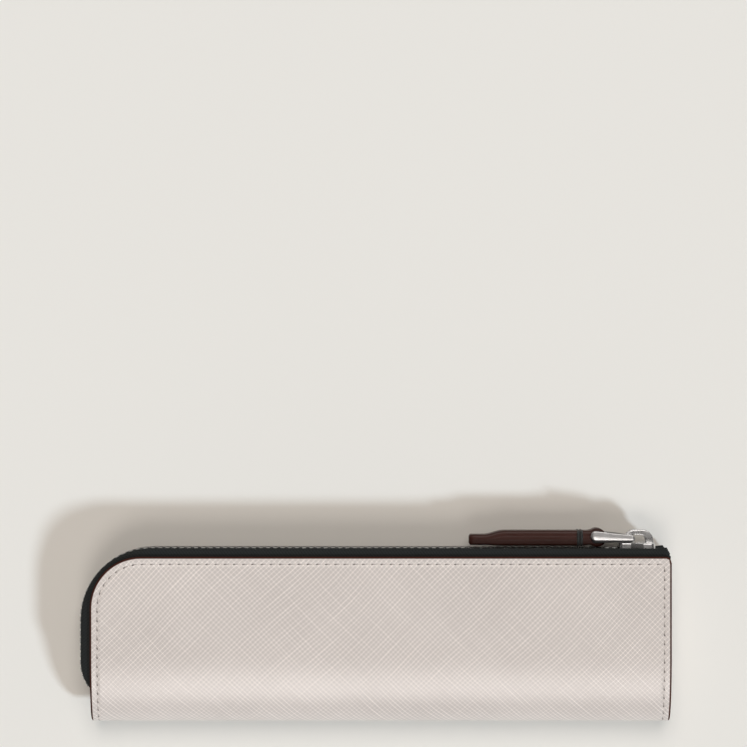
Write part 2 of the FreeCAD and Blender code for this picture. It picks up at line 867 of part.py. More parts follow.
def least_gap(path):
    """Smallest clear gap between the winding's turns, on points at least half a turn apart."""
    points = path.discretize(Number=wrap_sample_count)
    apart = wrap_sample_count // (2 * wrap_count)
    spans = [(a - b).Length for index, a in enumerate(points) for b in points[index + apart:]]
    return min(spans) - wrap_diameter


def pull_thread():
    """The thread wound round the strap's neck, one unbroken tube."""
    stand = wrap_diameter / 2 + wrap_clearance
    path = rounded_route(wrap_route(), stand + strap_edge_radius)
    print("pull_thread least gap", round(least_gap(path), 3))
    tangent = path.OrderedEdges[0].tangentAt(path.OrderedEdges[0].FirstParameter)
    ring = Part.Wire(Part.makeCircle(wrap_diameter / 2, path.OrderedVertexes[0].Point, tangent))
    return path.makePipeShell([ring], True, False)


# Build

pieces = {
    "outer_shell": outer_shell(),
    "padding": padding(),
    "lining": lining(),
    "end_gusset": end_gusset(),
    "front_tape": tape(1),
    "back_tape": tape(-1),
    "front_teeth": teeth(1),
    "back_teeth": teeth(-1),
    "closing_stops": closing_stops(),
    "opening_stop": opening_stop(),
    "front_zip_seam": zip_seam(1),
    "back_zip_seam": zip_seam(-1),
    "side_seam": side_seam(),
    "slider_body": slider_body(),
    "slider_crown": slider_crown(),
    "pull_link": pull_link(),
    "pull_strap": pull_strap(),
    "pull_core": pull_core(),
    "pull_thread": pull_thread(),
}

os.makedirs("parts", exist_ok=True)
for name, shape in pieces.items():
    shape.exportStep(os.path.join("parts", name + ".step"))
    print(name, "solids", len(shape.Solids), "valid", shape.isValid(), "volume", round(shape.Volume, 1))
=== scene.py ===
"""Looks of a zipped pen sleeve, in metres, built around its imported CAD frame."""

import json
from collections import namedtuple

import bmesh
import bpy
import numpy as np
from bpy.props import FloatProperty, FloatVectorProperty, PointerProperty
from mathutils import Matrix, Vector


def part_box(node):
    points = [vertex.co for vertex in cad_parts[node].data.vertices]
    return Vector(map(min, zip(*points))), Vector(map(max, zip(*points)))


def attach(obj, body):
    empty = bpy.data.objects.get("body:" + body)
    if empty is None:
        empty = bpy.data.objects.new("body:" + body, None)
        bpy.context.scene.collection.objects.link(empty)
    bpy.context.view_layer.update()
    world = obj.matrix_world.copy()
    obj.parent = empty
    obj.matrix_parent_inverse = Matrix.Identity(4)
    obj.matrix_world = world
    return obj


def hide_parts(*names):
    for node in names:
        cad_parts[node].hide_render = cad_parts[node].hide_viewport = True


bl_info = {
    "name": "Zipped pen sleeve",
    "version": (1, 0, 0),
    "blender": (4, 5, 0),
    "location": "View3D > Sidebar > Sleeve",
    "description": "Builds the looks of a zipped leather pen sleeve around its CAD frame",
    "category": "Object",
}

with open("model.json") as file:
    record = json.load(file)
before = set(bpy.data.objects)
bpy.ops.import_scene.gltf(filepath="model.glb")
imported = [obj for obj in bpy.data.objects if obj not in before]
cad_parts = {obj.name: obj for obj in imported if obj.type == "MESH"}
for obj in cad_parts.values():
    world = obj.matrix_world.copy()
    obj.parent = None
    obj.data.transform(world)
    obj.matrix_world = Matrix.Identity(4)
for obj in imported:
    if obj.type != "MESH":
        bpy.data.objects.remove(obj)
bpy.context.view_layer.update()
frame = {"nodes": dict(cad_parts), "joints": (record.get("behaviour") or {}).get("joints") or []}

# Places read from the frame
LEFT_X, FOLD_Y, BACK_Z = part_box("outer_shell")[0]
RIGHT_X, ZIP_Y, FRONT_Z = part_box("outer_shell")[1]
MID_Z = (BACK_Z + FRONT_Z) / 2
HALF_THICKNESS = (FRONT_Z - BACK_Z) / 2
SLIDER_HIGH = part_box("slider_body")[1]
CROWN_LOW, CROWN_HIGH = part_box("slider_crown")
STRAP_LOW, STRAP_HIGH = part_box("pull_strap")
WRAP_LOW, WRAP_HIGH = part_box("pull_thread")
GUSSET_LOW, GUSSET_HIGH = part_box("end_gusset")
CROWN_HALF_WIDTH = (CROWN_HIGH.z - CROWN_LOW.z) / 2
STRAP_HALF_WIDTH = (STRAP_HIGH.z - STRAP_LOW.z) / 2
PIVOTS = {joint["name"]: joint.get("pos_m") for joint in frame["joints"]}
QUARTER = np.pi / 2
WELD_DISTANCE = 1e-6

# Numbers of samples along lines and round sections
ARC_SAMPLES = 400
CORNER_SAMPLES = 24
LENGTH_COUNT, ROUND_COUNT = 200, 120
RIM_INSIDE, RIM_SEAM, RIM_OUTSIDE, RIM_EDGE, RIM_INNER = 5, 15, 4, 15, 3
CLOTH_EDGE = 7
STITCH_RINGS, STITCH_SIDES = 7, 6
POD_RINGS, POD_SIDES = 5, 8
TAPE_TAIL, TAPE_TOP, TAPE_CORNER, TAPE_LEFT, TAPE_TURN = 24, 170, 48, 20, 30
TAPE_LAP, TAPE_ROLL, TAPE_RUN = 5, 10, 12
BAR_RINGS, BAR_SIDES = 9, 20
LINK_RINGS = 64
ARCH_LEG, ARCH_BEND, ARCH_LEVEL, ARCH_CORNER = 8, 14, 10, 7
LEAF_SAMPLES, SWING_SAMPLES, LOOP_SAMPLES = 80, 16, 48
STRAP_RINGS, STRAP_CORNER = 260, 6
CORE_RINGS, CORE_CORNER = 60, 4
WRAP_SAMPLES, WRAP_RINGS, WRAP_SIDES = 360, 300, 15
WALL_FOLD, WALL_TOP, WALL_FLANGE, WALL_BEND, WALL_LEVEL = 40, 24, 8, 7, 15

# Shares, powers and angles of the forms
CROWDING = 0.45  # how much the points of a sheet's ends crowd towards the fold's tip
GROOVE_REACH = 2.6  # reach of the seam's pulled-in line, in groove widths
PAINT_TURN = 0.2  # turn of the rounded edge over which the paint begins
LINING_INSET, FELT_INSET = 3, 6  # distance of the layers from the edge, in leather thicknesses
STITCH_DIP_POWER, STITCH_END_POWER = 4, 6
HOLE_HEIGHT = 0.25  # height of a needle hole's pod, in groove depths
HOLE_DARK_END = 0.3  # how far ahead on its pod the painted shade of a needle hole is fully dark
ROLL_FALL_POWER = 6
TAIL_LIFT_MOST = 1.5
FRAY_WAVES = (4100.0, 9700.0, 17300.0)
LINK_PAST_BAR = 0.2  # how far the link's line runs on past the strap's bar, in link lengths
LINK_END_POWER = 2.6
# The link's outline from its top down: height in half heights, and depth behind the face in face depths
LINK_OUTLINE = (
    (1.0, 1.3), (1.0, 0.45), (0.97, 0.1), (0.88, 0.0), (0.3, 0.02), (0.0, 0.06), (-0.55, 0.34), (-1.0, 1.5),
)
LINK_ROUNDS = 3  # how often the outline's corners are cut
LOOP_MEET = np.radians(238.0)  # where the leaves meet the loop, from +X
WRAP_TURNS = 2
WRAP_SHORT = 0.15  # how far the thread's ends stop short of the back's middle, in half turns
WRAP_STEP = 0.3  # half of the stretch over which a turn steps over to the next, in half turns
WRAP_POWER = 7.0
WRAP_SINK, WRAP_STAND = 1 / 2, 1 / 3  # thread sunk into the faces, and standing off the sides, in radii
PLIES, PLY_SWELL, PLY_LAY = 3, 0.1, 2.2
PLY_RADIUS = 0.92  # mean radius of the plied thread, in thread radii
WALL_TIP_TURN = 0.003  # turn at which the end wall's rows begin, next to the fold's tip
FLANGE_LOSS = 0.9  # how much of the flange is cut away below the tapes

# Lines of the embossed grain: slant in degrees, faintest and strongest line, share of the tone, and the
# change of strength towards the fold's tip. The tone is partly the grain's and partly painted highlight and
# shade. The rising lines, which face the key light, get the larger share, and the change towards the fold's
# tip is a painted sheen of the fold.
Ruling = namedtuple("Ruling", "slant faint strong tone fade_from fade_to at_tip")
RISING = Ruling(slant=44.0, faint=0.62, strong=1.0, tone=0.5, fade_from=0.010, fade_to=0.018, at_tip=0.5)
FALLING = Ruling(slant=-45.0, faint=0.4, strong=0.78, tone=0.44, fade_from=0.012, fade_to=0.020, at_tip=1.6)
RULING_STRAY = 0.6  # how far a line strays off its place, in spacings
RULING_NOISE = ((0.8, 0.03), (1.3, 0.07))  # pace of the stray and of the strength, across and along the lines
RIDGE_WIDTH, RIB_WIDTH = 0.185, 0.45  # in spacings
SECOND_RIB = 0.7
PATCH_START, PATCH_END = 0.3, 0.7
PORE_HEIGHT = 0.12
SWELLING_HIGHLIGHT = 0.42  # share of the grain's light colour on the leather's swellings; it makes them a little lighter than the leather, a painted highlight
THREAD_RELIEF = 0.00003

Cut = namedtuple("Cut", "left right run left_radius right_radius")
Part = namedtuple("Part", "vertices faces uv tint")


# Settings

def size(name, description, default):
    """A length property in metres."""
    return FloatProperty(name=name, description=description, default=default, precision=5,
                         subtype="DISTANCE", unit="LENGTH")


def number(name, description, default):
    """A plain number property."""
    return FloatProperty(name=name, description=description, default=default)


def angle(name, description, degrees):
    """An angle property, written in degrees."""
    return FloatProperty(name=name, description=description, default=np.radians(degrees),
                         subtype="ANGLE", unit="ROTATION")


def colour(name, description, default):
    """A linear colour property."""
    return FloatVectorProperty(name=name, description=description, default=default, min=0.0, max=1.0,
                               subtype="COLOR")


class LeatherSettings(bpy.types.PropertyGroup):
    """The folded leather body, its layers and its seams."""

    fold_reach: size("Fold reach", "Reach of the half ellipse below the flat panels", 0.0195)
    zip_corner: size("Zip corner", "Radius of the large corner that the zip follows", 0.0146)
    seam_corner: size("Seam corner", "Radius of the small corners at the sewn end", 0.0015)
    thickness: size("Thickness", "Thickness of the leather", 0.0012)
    rim_width: size("Rim width", "Width of the worked strip along the cut edge", 0.005)
    rim_drop: size("Rim drop", "How far the strip outside the seam is pressed down", 0.00003)
    seam_inset: size("Seam inset", "Distance of the stitch line from the edge", 0.00212)
    groove_depth: size("Groove depth", "How deep the seam pulls the leather in", 0.00009)
    groove_width: size("Groove width", "Half width of the pulled-in line", 0.00045)
    stitch_pitch: size("Stitch pitch", "Distance from one stitch to the next", 0.00259)
    stitch_gap: size("Stitch gap", "Clear distance between two stitches", 0.0008)
    stitch_slant: size("Stitch slant", "Sideways lean from one end of a stitch to the other", 0.00026)
    thread: size("Thread", "Diameter of the seam thread", 0.0003)
    hole_length: size("Hole length", "Length of a needle hole", 0.0011)
    hole_width: size("Hole width", "Width of a needle hole", 0.00044)
    puff_width: size("Puff width", "Width of the leather's swelling between two stitches", 0.0007)
    layer_start: size("Layer start", "Depth at which the layers under the leather begin", 0.00125)
    layer_thickness: size("Layer thickness", "Thickness of the interlining", 0.0006)
    lining_depth: size("Lining depth", "Depth of the lining's outer face", 0.0019)
    lining_thickness: size("Lining thickness", "Thickness of the lining", 0.0005)
    grain_spacing: size("Grain spacing", "Distance between the embossed lines", 0.00101)
    grain_depth: size("Grain depth", "Height of the embossed lines", 0.000023)
    # The colour on the lines and the colour between them are the grain's tone together with a painted
    # highlight on the ridges and painted shade between them.
    ivory: colour("Ivory", "Colour on top of the embossed lines", (0.95, 0.858, 0.788))
    ivory_shade: colour("Ivory shade", "Colour between the embossed lines", (0.44, 0.388, 0.353))
    edge_paint: colour("Edge paint", "Colour of the painted edges", (0.05, 0.0192, 0.0142))
    # The seam thread is ivory; this colour darkens it to taupe as painted shade of the groove it lies in.
    seam_thread: colour("Seam thread", "Colour of the seam thread", (0.37, 0.325, 0.29))
    # Painted shade: the needle holes are dark pods standing in for the shade inside the holes.
    hole_shade: colour("Hole shade", "Colour inside the needle holes", (0.075, 0.062, 0.054))
    lining_cloth: colour("Lining cloth", "Colour of the lining", (0.06, 0.038, 0.03))
    felt: colour("Felt", "Colour of the interlining", (0.42, 0.38, 0.33))


class ZipSettings(bpy.types.PropertyGroup):
    """The zip tapes, the chain and the slider with its arch."""

    tape_thickness: size("Tape thickness", "Thickness of the woven tape", 0.0006)
    tape_lap: size("Tape lap", "How far the tape reaches in under the leather", 0.006)
    tape_bulge: size("Tape bulge", "Rise of the tape's roll over the chain line", 0.00018)
    tape_swell: size("Tape swell", "How much more the roll rises along the top", 0.00044)
    tape_shoulder: size("Tape shoulder", "Depth of the tape's roll at the leather edge", 0.0006)
    tape_rise: size("Tape rise", "Least rise of the roll where the tape turns in", 0.0006)
    tape_end: size("Tape end", "Distance of the tape's cut end from the sleeve's end", 0.0002)
    tail_start: size("Tail start", "Distance from the end at which the free tail begins", 0.0043)
    tail_rise: size("Tail rise", "How far the free tail curls up", 0.0002)
    tail_slant: number("Tail slant", "Slant of the cut across the free tail", 0.45)
    tail_fray: size("Tail fray", "Raggedness of the cut end", 0.00028)
    chain_top: size("Chain at the top", "Chain line's distance outside the top edge", 0.0014)
    chain_left: size("Chain at the left", "Chain line's distance outside the left edge", 0.0022)
    chain_corner: size("Chain corner", "Radius of the chain round the corner", 0.0196)
    turn_radius: size("Turn radius", "Radius with which the chain turns in at its end", 0.012)
    turn_height: size("Turn height", "Height of the turn's centre over the fold", 0.0172)
    turn_angle: angle("Turn angle", "How far the chain turns in", 48.0)
    bead: size("Bead", "Distance of the tape's bead from the middle plane", 0.0021)
    row_spread: size("Row spread", "How far the slider's mouth parts each row", 0.0015)
    throat: size("Throat", "Distance of the slider's throat from its tail", 0.0069)
    shoulder: size("Shoulder", "Distance of the slider's shoulder from its tail", 0.0034)
    weave_pitch: size("Weave pitch", "Pitch of the tape's ribs", 0.0007)
    weave_depth: size("Weave depth", "Depth of the tape's ribs", 0.00006)
    arch_band: size("Arch band", "Height of the arch over its window", 0.0016)
    arch_nose: size("Arch nose", "Width of the arch's front leg", 0.0013)
    arch_tail: size("Arch tail", "Width of the arch's rear leg", 0.0024)
    arch_radius: size("Arch radius", "Outer radius of the arch", 0.0033)
    window_radius: size("Window radius", "Radius in the arch's window", 0.0014)
    arch_edge: size("Arch edge", "Rounding of the arch's edges", 0.00032)
    tape: colour("Tape", "Colour of the woven tape", (0.0135, 0.0155, 0.0155))
    # The rib colour is a painted highlight on the tops of the tape's ribs.
    tape_rib_highlight: colour("Tape rib", "Colour on top of the tape's ribs", (0.024, 0.0265, 0.0265))
    teeth: colour("Teeth", "Colour of the plated teeth", (0.36, 0.37, 0.365))
    metal: colour("Metal", "Colour of the silver metal", (0.64, 0.645, 0.65))


class PullSettings(bpy.types.PropertyGroup):
    """The link, the leather strap and its thread."""

    link_tail: size("Link tail", "Height of the link at its pivot", 0.0018)
    link_head: size("Link head", "Height of the link at the strap", 0.0033)
    link_overhang: size("Link overhang", "Reach of the link beyond the strap's bar", 0.0019)
    link_lift: size("Link lift", "How far the link's face stands over the line of its bars", 0.00012)
    link_arm: size("Link arm", "Thickness of the link's arms", 0.0011)
    link_taper: size("Link taper", "How much nearer to the middle the link's face lies at its pivot", 0.0004)
    link_clearance: size("Link clearance", "Gap between the link and what it goes round", 0.0003)
    pivot_bar: size("Pivot bar", "Diameter of the bar through the arch", 0.0012)
    strap_bar: size("Strap bar", "Diameter of the bar through the strap", 0.002)
    loop_clearance: size("Loop clearance", "Gap between the bar and the loop", 0.0001)
    leaf: size("Leaf", "Thickness of the strap's leather", 0.0016)
    tip_leaf: size("Tip leaf", "Thickness of the leather at the tip", 0.0015)
    core: size("Core", "Thickness of the filler between the leaves", 0.0012)
    tip_length: size("Tip length", "Length of the thin tip", 0.0042)
    tip_taper: size("Tip taper", "Length over which the strap thins", 0.006)
    tip_sink: size("Tip sink", "How far the thin tip lies below the strap's middle", 0.00045)
    tip_round: size("Tip rounding", "Rounding of the tip's corners", 0.0005)
    drop: size("Drop", "How far the strap hangs below the line of the link's bar", 0.00022)
    neck: size("Neck", "Distance from the bar at which the leaves part", 0.0046)
    edge: size("Edge", "Rounding of the strap's outer edges", 0.00074)
    seam_edge: size("Seam edge", "Rounding of the edges between the leaves", 0.00004)
    wrap_thread: size("Wrap thread", "Diameter of the thread round the neck", 0.00088)
    wrap_pitch: size("Wrap pitch", "Distance from one turn of thread to the next", 0.00088)
    strap: colour("Strap", "Colour of the strap's leather", (0.036, 0.0102, 0.0066))
    wrap: colour("Wrap", "Colour of the thread round the neck", (0.013, 0.015, 0.0145))


class StageSettings(bpy.types.PropertyGroup):
    """The camera, the floor and the light."""

    camera_x: size("Camera X", "Camera's place along the sleeve", -0.00205)
    camera_y: size("Camera Y", "Camera's place across the sleeve", 0.0758)
    camera_height: size("Camera height", "Camera's height over the front panel", 0.85)
    view_width: size("View width", "Width of the picture at the front panel", 0.2122)
    sensor: number("Sensor", "Width of the camera's sensor in millimetres", 36.0)
    floor_gap: size("Floor gap", "Gap between the floor and the sleeve's back", 0.0001)
    floor_size: size("Floor size", "Half width of the floor", 6.0)
    key_turn: angle("Key turn", "Direction of the key light, from +X towards +Y", -41.5)
    key_height: angle("Key height", "Height of the key light over the horizon", 36.0)
    key_spread: angle("Key spread", "Angular width of the key light", 8.0)
    key_share: number("Key share", "Share of the floor's light that the key light gives", 0.37)
    soft_height: angle("Soft height", "Height of the soft light over the horizon, before the fold", 59.5)
    soft_spread: angle("Soft spread", "Angular width of the soft light", 25.0)
    soft_share: number("Soft share", "Share of the floor's light that the soft light gives", 0.19)
    fill_height: angle("Fill height", "Height of the fill light over the horizon, behind the zip", 61.0)
    fill_spread: angle("Fill spread", "Angular width of the fill light", 40.0)
    fill_share: number("Fill share", "Share of the floor's light that the fill light gives", 0.37)
    zenith: number("Zenith", "Strength of the light from straight above", 0.1)
    horizon: number("Horizon", "Strength of the light from the horizon", 0.75)
    horizon_start: number("Horizon start", "Sine of the height where the horizon's light first fades", 0.05)
    horizon_end: number("Horizon end", "Sine of the height where the horizon's light has faded", 0.5)
    floor: colour("Floor", "Colour of the floor", (0.80, 0.776, 0.723))
    key_light: colour("Key light", "Colour of the key light", (0.76, 0.88, 1.0))
    fill_light: colour("Fill light", "Colour of all the other light", (1.0, 0.943, 0.90))


# Meshes

def unit(vectors):
    """Vectors of length one."""
    return vectors / np.linalg.norm(vectors, axis=-1, keepdims=True)


def smooth(values, start, end):
    """A smooth step from 0 at start to 1 at end: 3t^2 - 2t^3."""
    t = np.clip((values - start) / (end - start), 0.0, 1.0)
    return t * t * (3.0 - 2.0 * t)


def ripple(values, waves):
    """An uneven line from a few sine waves of unrelated pitch, about -1 to 1."""
    return sum(np.sin(values * wave + wave) for wave in waves) / len(waves)


def full_turn(count):
    """Angles of a full turn, without the one that meets the first."""
    return np.linspace(0.0, 2 * np.pi, count, endpoint=False)


def lengths_along(points):
    """Length of a polyline up to each of its points."""
    return np.concatenate([[0.0], np.cumsum(np.linalg.norm(np.diff(points, axis=0), axis=1))])


def joined(*values):
    """Values side by side along a new last axis."""
    return np.stack(np.broadcast_arrays(*values), -1)


def even_shares(count):
    """Evenly spaced shares from 0 to 1."""
    return np.linspace(0.0, 1.0, count)


def arc(x, y, radius, turn):
    """Places round a circle: x + r cos(t) and y + r sin(t)."""
    return joined(x + radius * np.cos(turn), y + radius * np.sin(turn))


def places_at(points, run, distances):
    """Places at distances along a polyline, given its length up to each point."""
    return joined(*(np.interp(distances, run, column) for column in points.T))


def resample(points, shares):
    """Places at shares of a polyline's length."""
    run = lengths_along(points)
    return places_at(points, run, shares * run[-1])


def grid_faces(rows, columns, close_columns):
    """Quads of a grid of vertex numbers, closed round its columns on request."""
    index = np.arange(rows * columns).reshape(rows, columns)
    if close_columns:
        index = np.hstack([index, index[:, :1]])
    return np.stack([index[:-1, :-1], index[1:, :-1], index[1:, 1:], index[:-1, 1:]], -1).reshape(-1, 4)


def grid_part(places, uv=0.0, tint=0.0, close_columns=False):
    """A part from one grid of places, or from many equal ones, with map coordinates and a tint per vertex."""
    rows, columns = places.shape[-3:-1]
    copies = places.size // (3 * rows * columns)
    one = grid_faces(rows, columns, close_columns)
    faces = (one[None] + (np.arange(copies) * rows * columns)[:, None, None]).reshape(-1, 4)
    uv = np.broadcast_to(uv, places.shape[:-1] + (2,)).reshape(-1, 2)
    return Part(places.reshape(-1, 3), faces, uv, np.broadcast_to(tint, places.shape[:-1]).reshape(-1))


def loft(rings, uv=None):
    """A closed tube through rings of places, with each end drawn together to a point in its middle."""
    ends = [np.broadcast_to(ring.mean(0), ring.shape)[None] for ring in (rings[0], rings[-1])]
    places = np.concatenate([ends[0], rings, ends[1]])
    uv = 0.0 if uv is None else np.concatenate([uv[:1], uv, uv[-1:]])
    return grid_part(places, uv, close_columns=True)


def tube_rings(path, up, radius, turn):
    """Circles round the places of a path: cos(turn) sideways and sin(turn) upright, times the radius."""
    forward = unit(np.gradient(path, axis=-2))
    side = unit(np.cross(forward, up))
    upright = np.cross(side, forward)
    ring = np.cos(turn)[:, None] * side[..., None, :] + np.sin(turn)[:, None] * upright[..., None, :]
    return path[..., None, :] + radius[..., None] * ring


def swept(line, across, a, b):
    """Sections carried along a line in the side view: a in the direction across it, b in Z."""
    flat = line[:, None] + a[..., None] * np.broadcast_to(across, line.shape)[:, None]
    return np.concatenate([flat, (MID_Z + b)[..., None]], -1)


def new_object(name, data):
    """An object in the scene."""
    made = bpy.data.objects.new(name, data)
    bpy.context.scene.collection.objects.link(made)
    return made


def add_piece(name, parts, material, body, replaced=(), sharp_degrees=50.0):
    """One object at the origin from several parts, welded, facing outwards, riding on a CAD body."""
    vertices, faces, uv, tint = (np.concatenate(values) for values in zip(*parts))
    starts = np.cumsum([0] + [len(part.vertices) for part in parts[:-1]])
    faces = faces + np.repeat(starts, [len(part.faces) for part in parts])[:, None]
    mesh = bpy.data.meshes.new(name)
    mesh.vertices.add(len(vertices))
    mesh.vertices.foreach_set("co", vertices.ravel())
    mesh.loops.add(faces.size)
    mesh.loops.foreach_set("vertex_index", faces.ravel())
    mesh.polygons.add(len(faces))
    mesh.polygons.foreach_set("loop_start", np.arange(len(faces)) * faces.shape[1])
    mesh.update(calc_edges=True)
    mesh.uv_layers.new(name="sheet").data.foreach_set("uv", uv[faces.ravel()].ravel())
    mesh.attributes.new("tint", "FLOAT", "POINT").data.foreach_set("value", tint)
    shape = bmesh.new()
    shape.from_mesh(mesh)
    bmesh.ops.remove_doubles(shape, verts=shape.verts, dist=WELD_DISTANCE)
    bmesh.ops.recalc_face_normals(shape, faces=shape.faces)
    shape.to_mesh(mesh)
    shape.free()
    mesh.polygons.foreach_set("use_smooth", np.ones(len(mesh.polygons), bool))
    mesh.set_sharp_from_angle(angle=np.radians(sharp_degrees))
    mesh.materials.append(material)
    piece = new_object(name, mesh)
    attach(piece, body)
    if replaced:
        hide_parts(*replaced)
    return piece


def finish_node(node_name, material):
    """A CAD node that keeps its shape and gets a finish."""
    piece = frame["nodes"][node_name]
    piece.data.materials.clear()
    piece.data.materials.append(material)


# Folded sheets, in sheet coordinates: x along the sleeve and s round its section from the fold's tip

def fold_arc(depth, leather):
    """The fold at a depth: its half axes, turns of the quarter ellipse and the arc length at each turn."""
    a = leather.fold_reach - depth
    b = HALF_THICKNESS - depth
    turn = np.linspace(0.0, QUARTER, ARC_SAMPLES)
    return a, b, turn, lengths_along(joined(a * np.cos(turn), b * np.sin(turn)))


def half_run(depth, leather):
    """Arc length of the section from the fold's tip to the zip edge: quarter ellipse and flat panel."""
    return fold_arc(depth, leather)[-1][-1] + ZIP_Y - FOLD_Y - leather.fold_reach


def section_places(s, depth, leather):
    """Section of the body at a depth below its outer face, by arc length s from the fold's tip.

    Round the fold y = centre - a cos(t) and z = b sin(t), with t found from the arc length, and beyond the
    quarter ellipse the panel is flat. Negative lengths are the back. Gives y, z and the outward normal."""
    a, b, turn, run = fold_arc(depth, leather)
    t = np.interp(np.abs(s), run, turn)
    flat = np.maximum(np.abs(s) - run[-1], 0.0)
    side = np.where(s < 0, -1.0, 1.0)
    slope = np.hypot(b * np.cos(t), a * np.sin(t))
    y = FOLD_Y + leather.fold_reach - a * np.cos(t) + flat
    return y, MID_Z + side * b * np.sin(t), -b * np.cos(t) / slope, side * a * np.sin(t) / slope


def sheet_places(sheet, lift, depth, leather):
    """Places of sheet coordinates, lifted along the normal off the face at a depth."""
    y, z, normal_y, normal_z = section_places(sheet[..., 1], depth, leather)
    return joined(sheet[..., 0], y + lift * normal_y, z + lift * normal_z)


def outline_sides(cut, inset):
    """The four sides of a cut's outline, moved in from the edge: front, sewn end, back and zip end.

    The outline is a rectangle with round corners whose radii shrink with the inset. Each side runs from the
    middle of one corner's arc to the middle of the next; the ends' points crowd towards the fold's tip."""
    least = cut.right_radius / 2
    left_radius = max(cut.left_radius - inset, least)
    right_radius = max(cut.right_radius - inset, least)
    left = (cut.left + inset + left_radius, left_radius)
    right = (cut.right - inset - right_radius, right_radius)
    corners = []
    for (x, radius), sign_x, sign_s in ((left, -1, 1), (right, 1, 1), (right, 1, -1), (left, -1, -1)):
        corners.append((x, sign_s * (cut.run - inset - radius), radius, np.arctan2(sign_s, sign_x)))
    even = even_shares(LENGTH_COUNT + 1)
    spread = np.linspace(-1.0, 1.0, ROUND_COUNT + 1)
    crowded = 0.5 + 0.5 * ((1.0 - CROWDING) * spread + CROWDING * spread ** 3)
    eighth = np.linspace(0.0, QUARTER / 2, CORNER_SAMPLES)
    sides = []
    for first, second, shares in zip(corners, corners[1:] + corners[:1], (even, crowded, even, crowded)):
        turns = ((first, -eighth), (second, QUARTER / 2 - eighth))
        points = [arc(x, s, radius, middle + turn) for (x, s, radius, middle), turn in turns]
        sides.append(resample(np.concatenate(points), shares))
    return sides


def coons_patch(sides):
    """A grid that fills four sides: the two ruled surfaces added, less the bilinear one of the corners."""
    top, right, bottom, left = sides[0], sides[1], sides[2][::-1], sides[3][::-1]
    u = even_shares(len(top))[None, :, None]
    v = even_shares(len(left))[:, None, None]
    across = (1 - u) * left[:, None] + u * right[:, None]
    down = (1 - v) * top[None] + v * bottom[None]
    corner = (1 - v) * ((1 - u) * top[0] + u * top[-1]) + v * ((1 - u) * bottom[0] + u * bottom[-1])
    return across + down - corner


def folded_sheet(profile, cut, depth, leather):
    """Parts of a closed folded sheet: a rim profile carried round the cut's outline, and a patch per face.

    The profile's rows hold inset, lift and paint share, from the outer face round the edge to the inner."""
    outlines = [outline_sides(cut, inset) for inset in profile[:, 0]]
    rim = np.stack([np.concatenate([side[:-1] for side in sides]) for sides in outlines])
    places = sheet_places(rim, profile[:, 1:2], depth, leather)
    parts = [grid_part(places, rim, profile[:, 2:3], close_columns=True)]
    for sides, lift in ((outlines[0], profile[0, 1]), (outlines[-1], profile[-1, 1])):
        patch = coons_patch(sides)
        parts.append(grid_part(sheet_places(patch, lift, depth, leather), patch))
    return parts


def leather_profile(leather):
    """Rim of the leather: flat face, the seam's pulled-in line, and a half-round painted edge.

    The face is lifted by -groove exp(-((inset - seam) / width)^2) and pressed down outside the seam."""
    radius = leather.thickness / 2
    seam = leather.seam_inset
    reach = GROOVE_REACH * leather.groove_width
    inset = np.concatenate([
        np.linspace(leather.rim_width, seam + reach, RIM_INSIDE)[:-1],
        np.linspace(seam + reach, seam - reach, RIM_SEAM)[:-1],
        np.linspace(seam - reach, radius, RIM_OUTSIDE)[:-1],
    ])
    lift = -leather.groove_depth * np.exp(-((inset - seam) / leather.groove_width) ** 2)
    lift -= leather.rim_drop * smooth(inset, seam + reach, seam)
    turn = np.linspace(0.0, np.pi, RIM_EDGE)
    edge_lift = -leather.rim_drop - (leather.thickness - leather.rim_drop) * (1 - np.cos(turn)) / 2
    inner = np.linspace(radius, leather.rim_width, RIM_INNER)[1:]
    return np.concatenate([
        joined(inset, lift, 0.0),
        joined(radius * (1 - np.sin(turn)), edge_lift, smooth(turn, 0.0, PAINT_TURN)),
        joined(inner, -leather.thickness, 0.0),
    ])


def cloth_profile(thickness, rim_width):
    """Rim of a plain cloth sheet: flat faces and a half-round edge."""
    turn = np.linspace(0.0, np.pi, CLOTH_EDGE)
    rows = joined(thickness / 2 * (1 - np.sin(turn)), -thickness / 2 * (1 - np.cos(turn)), 0.0)
    return np.concatenate([[[rim_width, 0.0, 0.0]], rows, [[rim_width, -thickness, 0.0]]])


# Seams

def seam_lines(leather):
    """Lines of the three seams in sheet coordinates: along the zip on either side, and down the sewn end."""
    inset = leather.seam_inset
    run = half_run(0.0, leather) - inset
    left = LEFT_X + inset
    right = RIGHT_X - inset
    radius = leather.zip_corner - inset
    turn = np.linspace(QUARTER, 2 * QUARTER, CORNER_SAMPLES)
    corner = arc(left + radius, run - radius, radius, turn)
    front = np.concatenate([[[right, run]], corner, [[left, 0.0]]])
    side = np.array([[right, run], [right, -run]])
    return {"front_zip_seam": front, "back_zip_seam": front * (1, -1), "side_seam": side}


def stitch_frames(line, along, across, lift, leather):
    """Places and normals at distances along a seam line, moved sideways in the sheet and lifted off it."""
    run = lengths_along(line)
    step = leather.thread / 2
    forward = unit(places_at(line, run, along + step) - places_at(line, run, along - step))
    place = places_at(line, run, along) + across[..., None] * joined(-forward[..., 1], forward[..., 0])
    _, _, normal_y, normal_z = section_places(place[..., 1], 0.0, leather)
    return sheet_places(place, lift, 0.0, leather), joined(0.0, normal_y, normal_z)


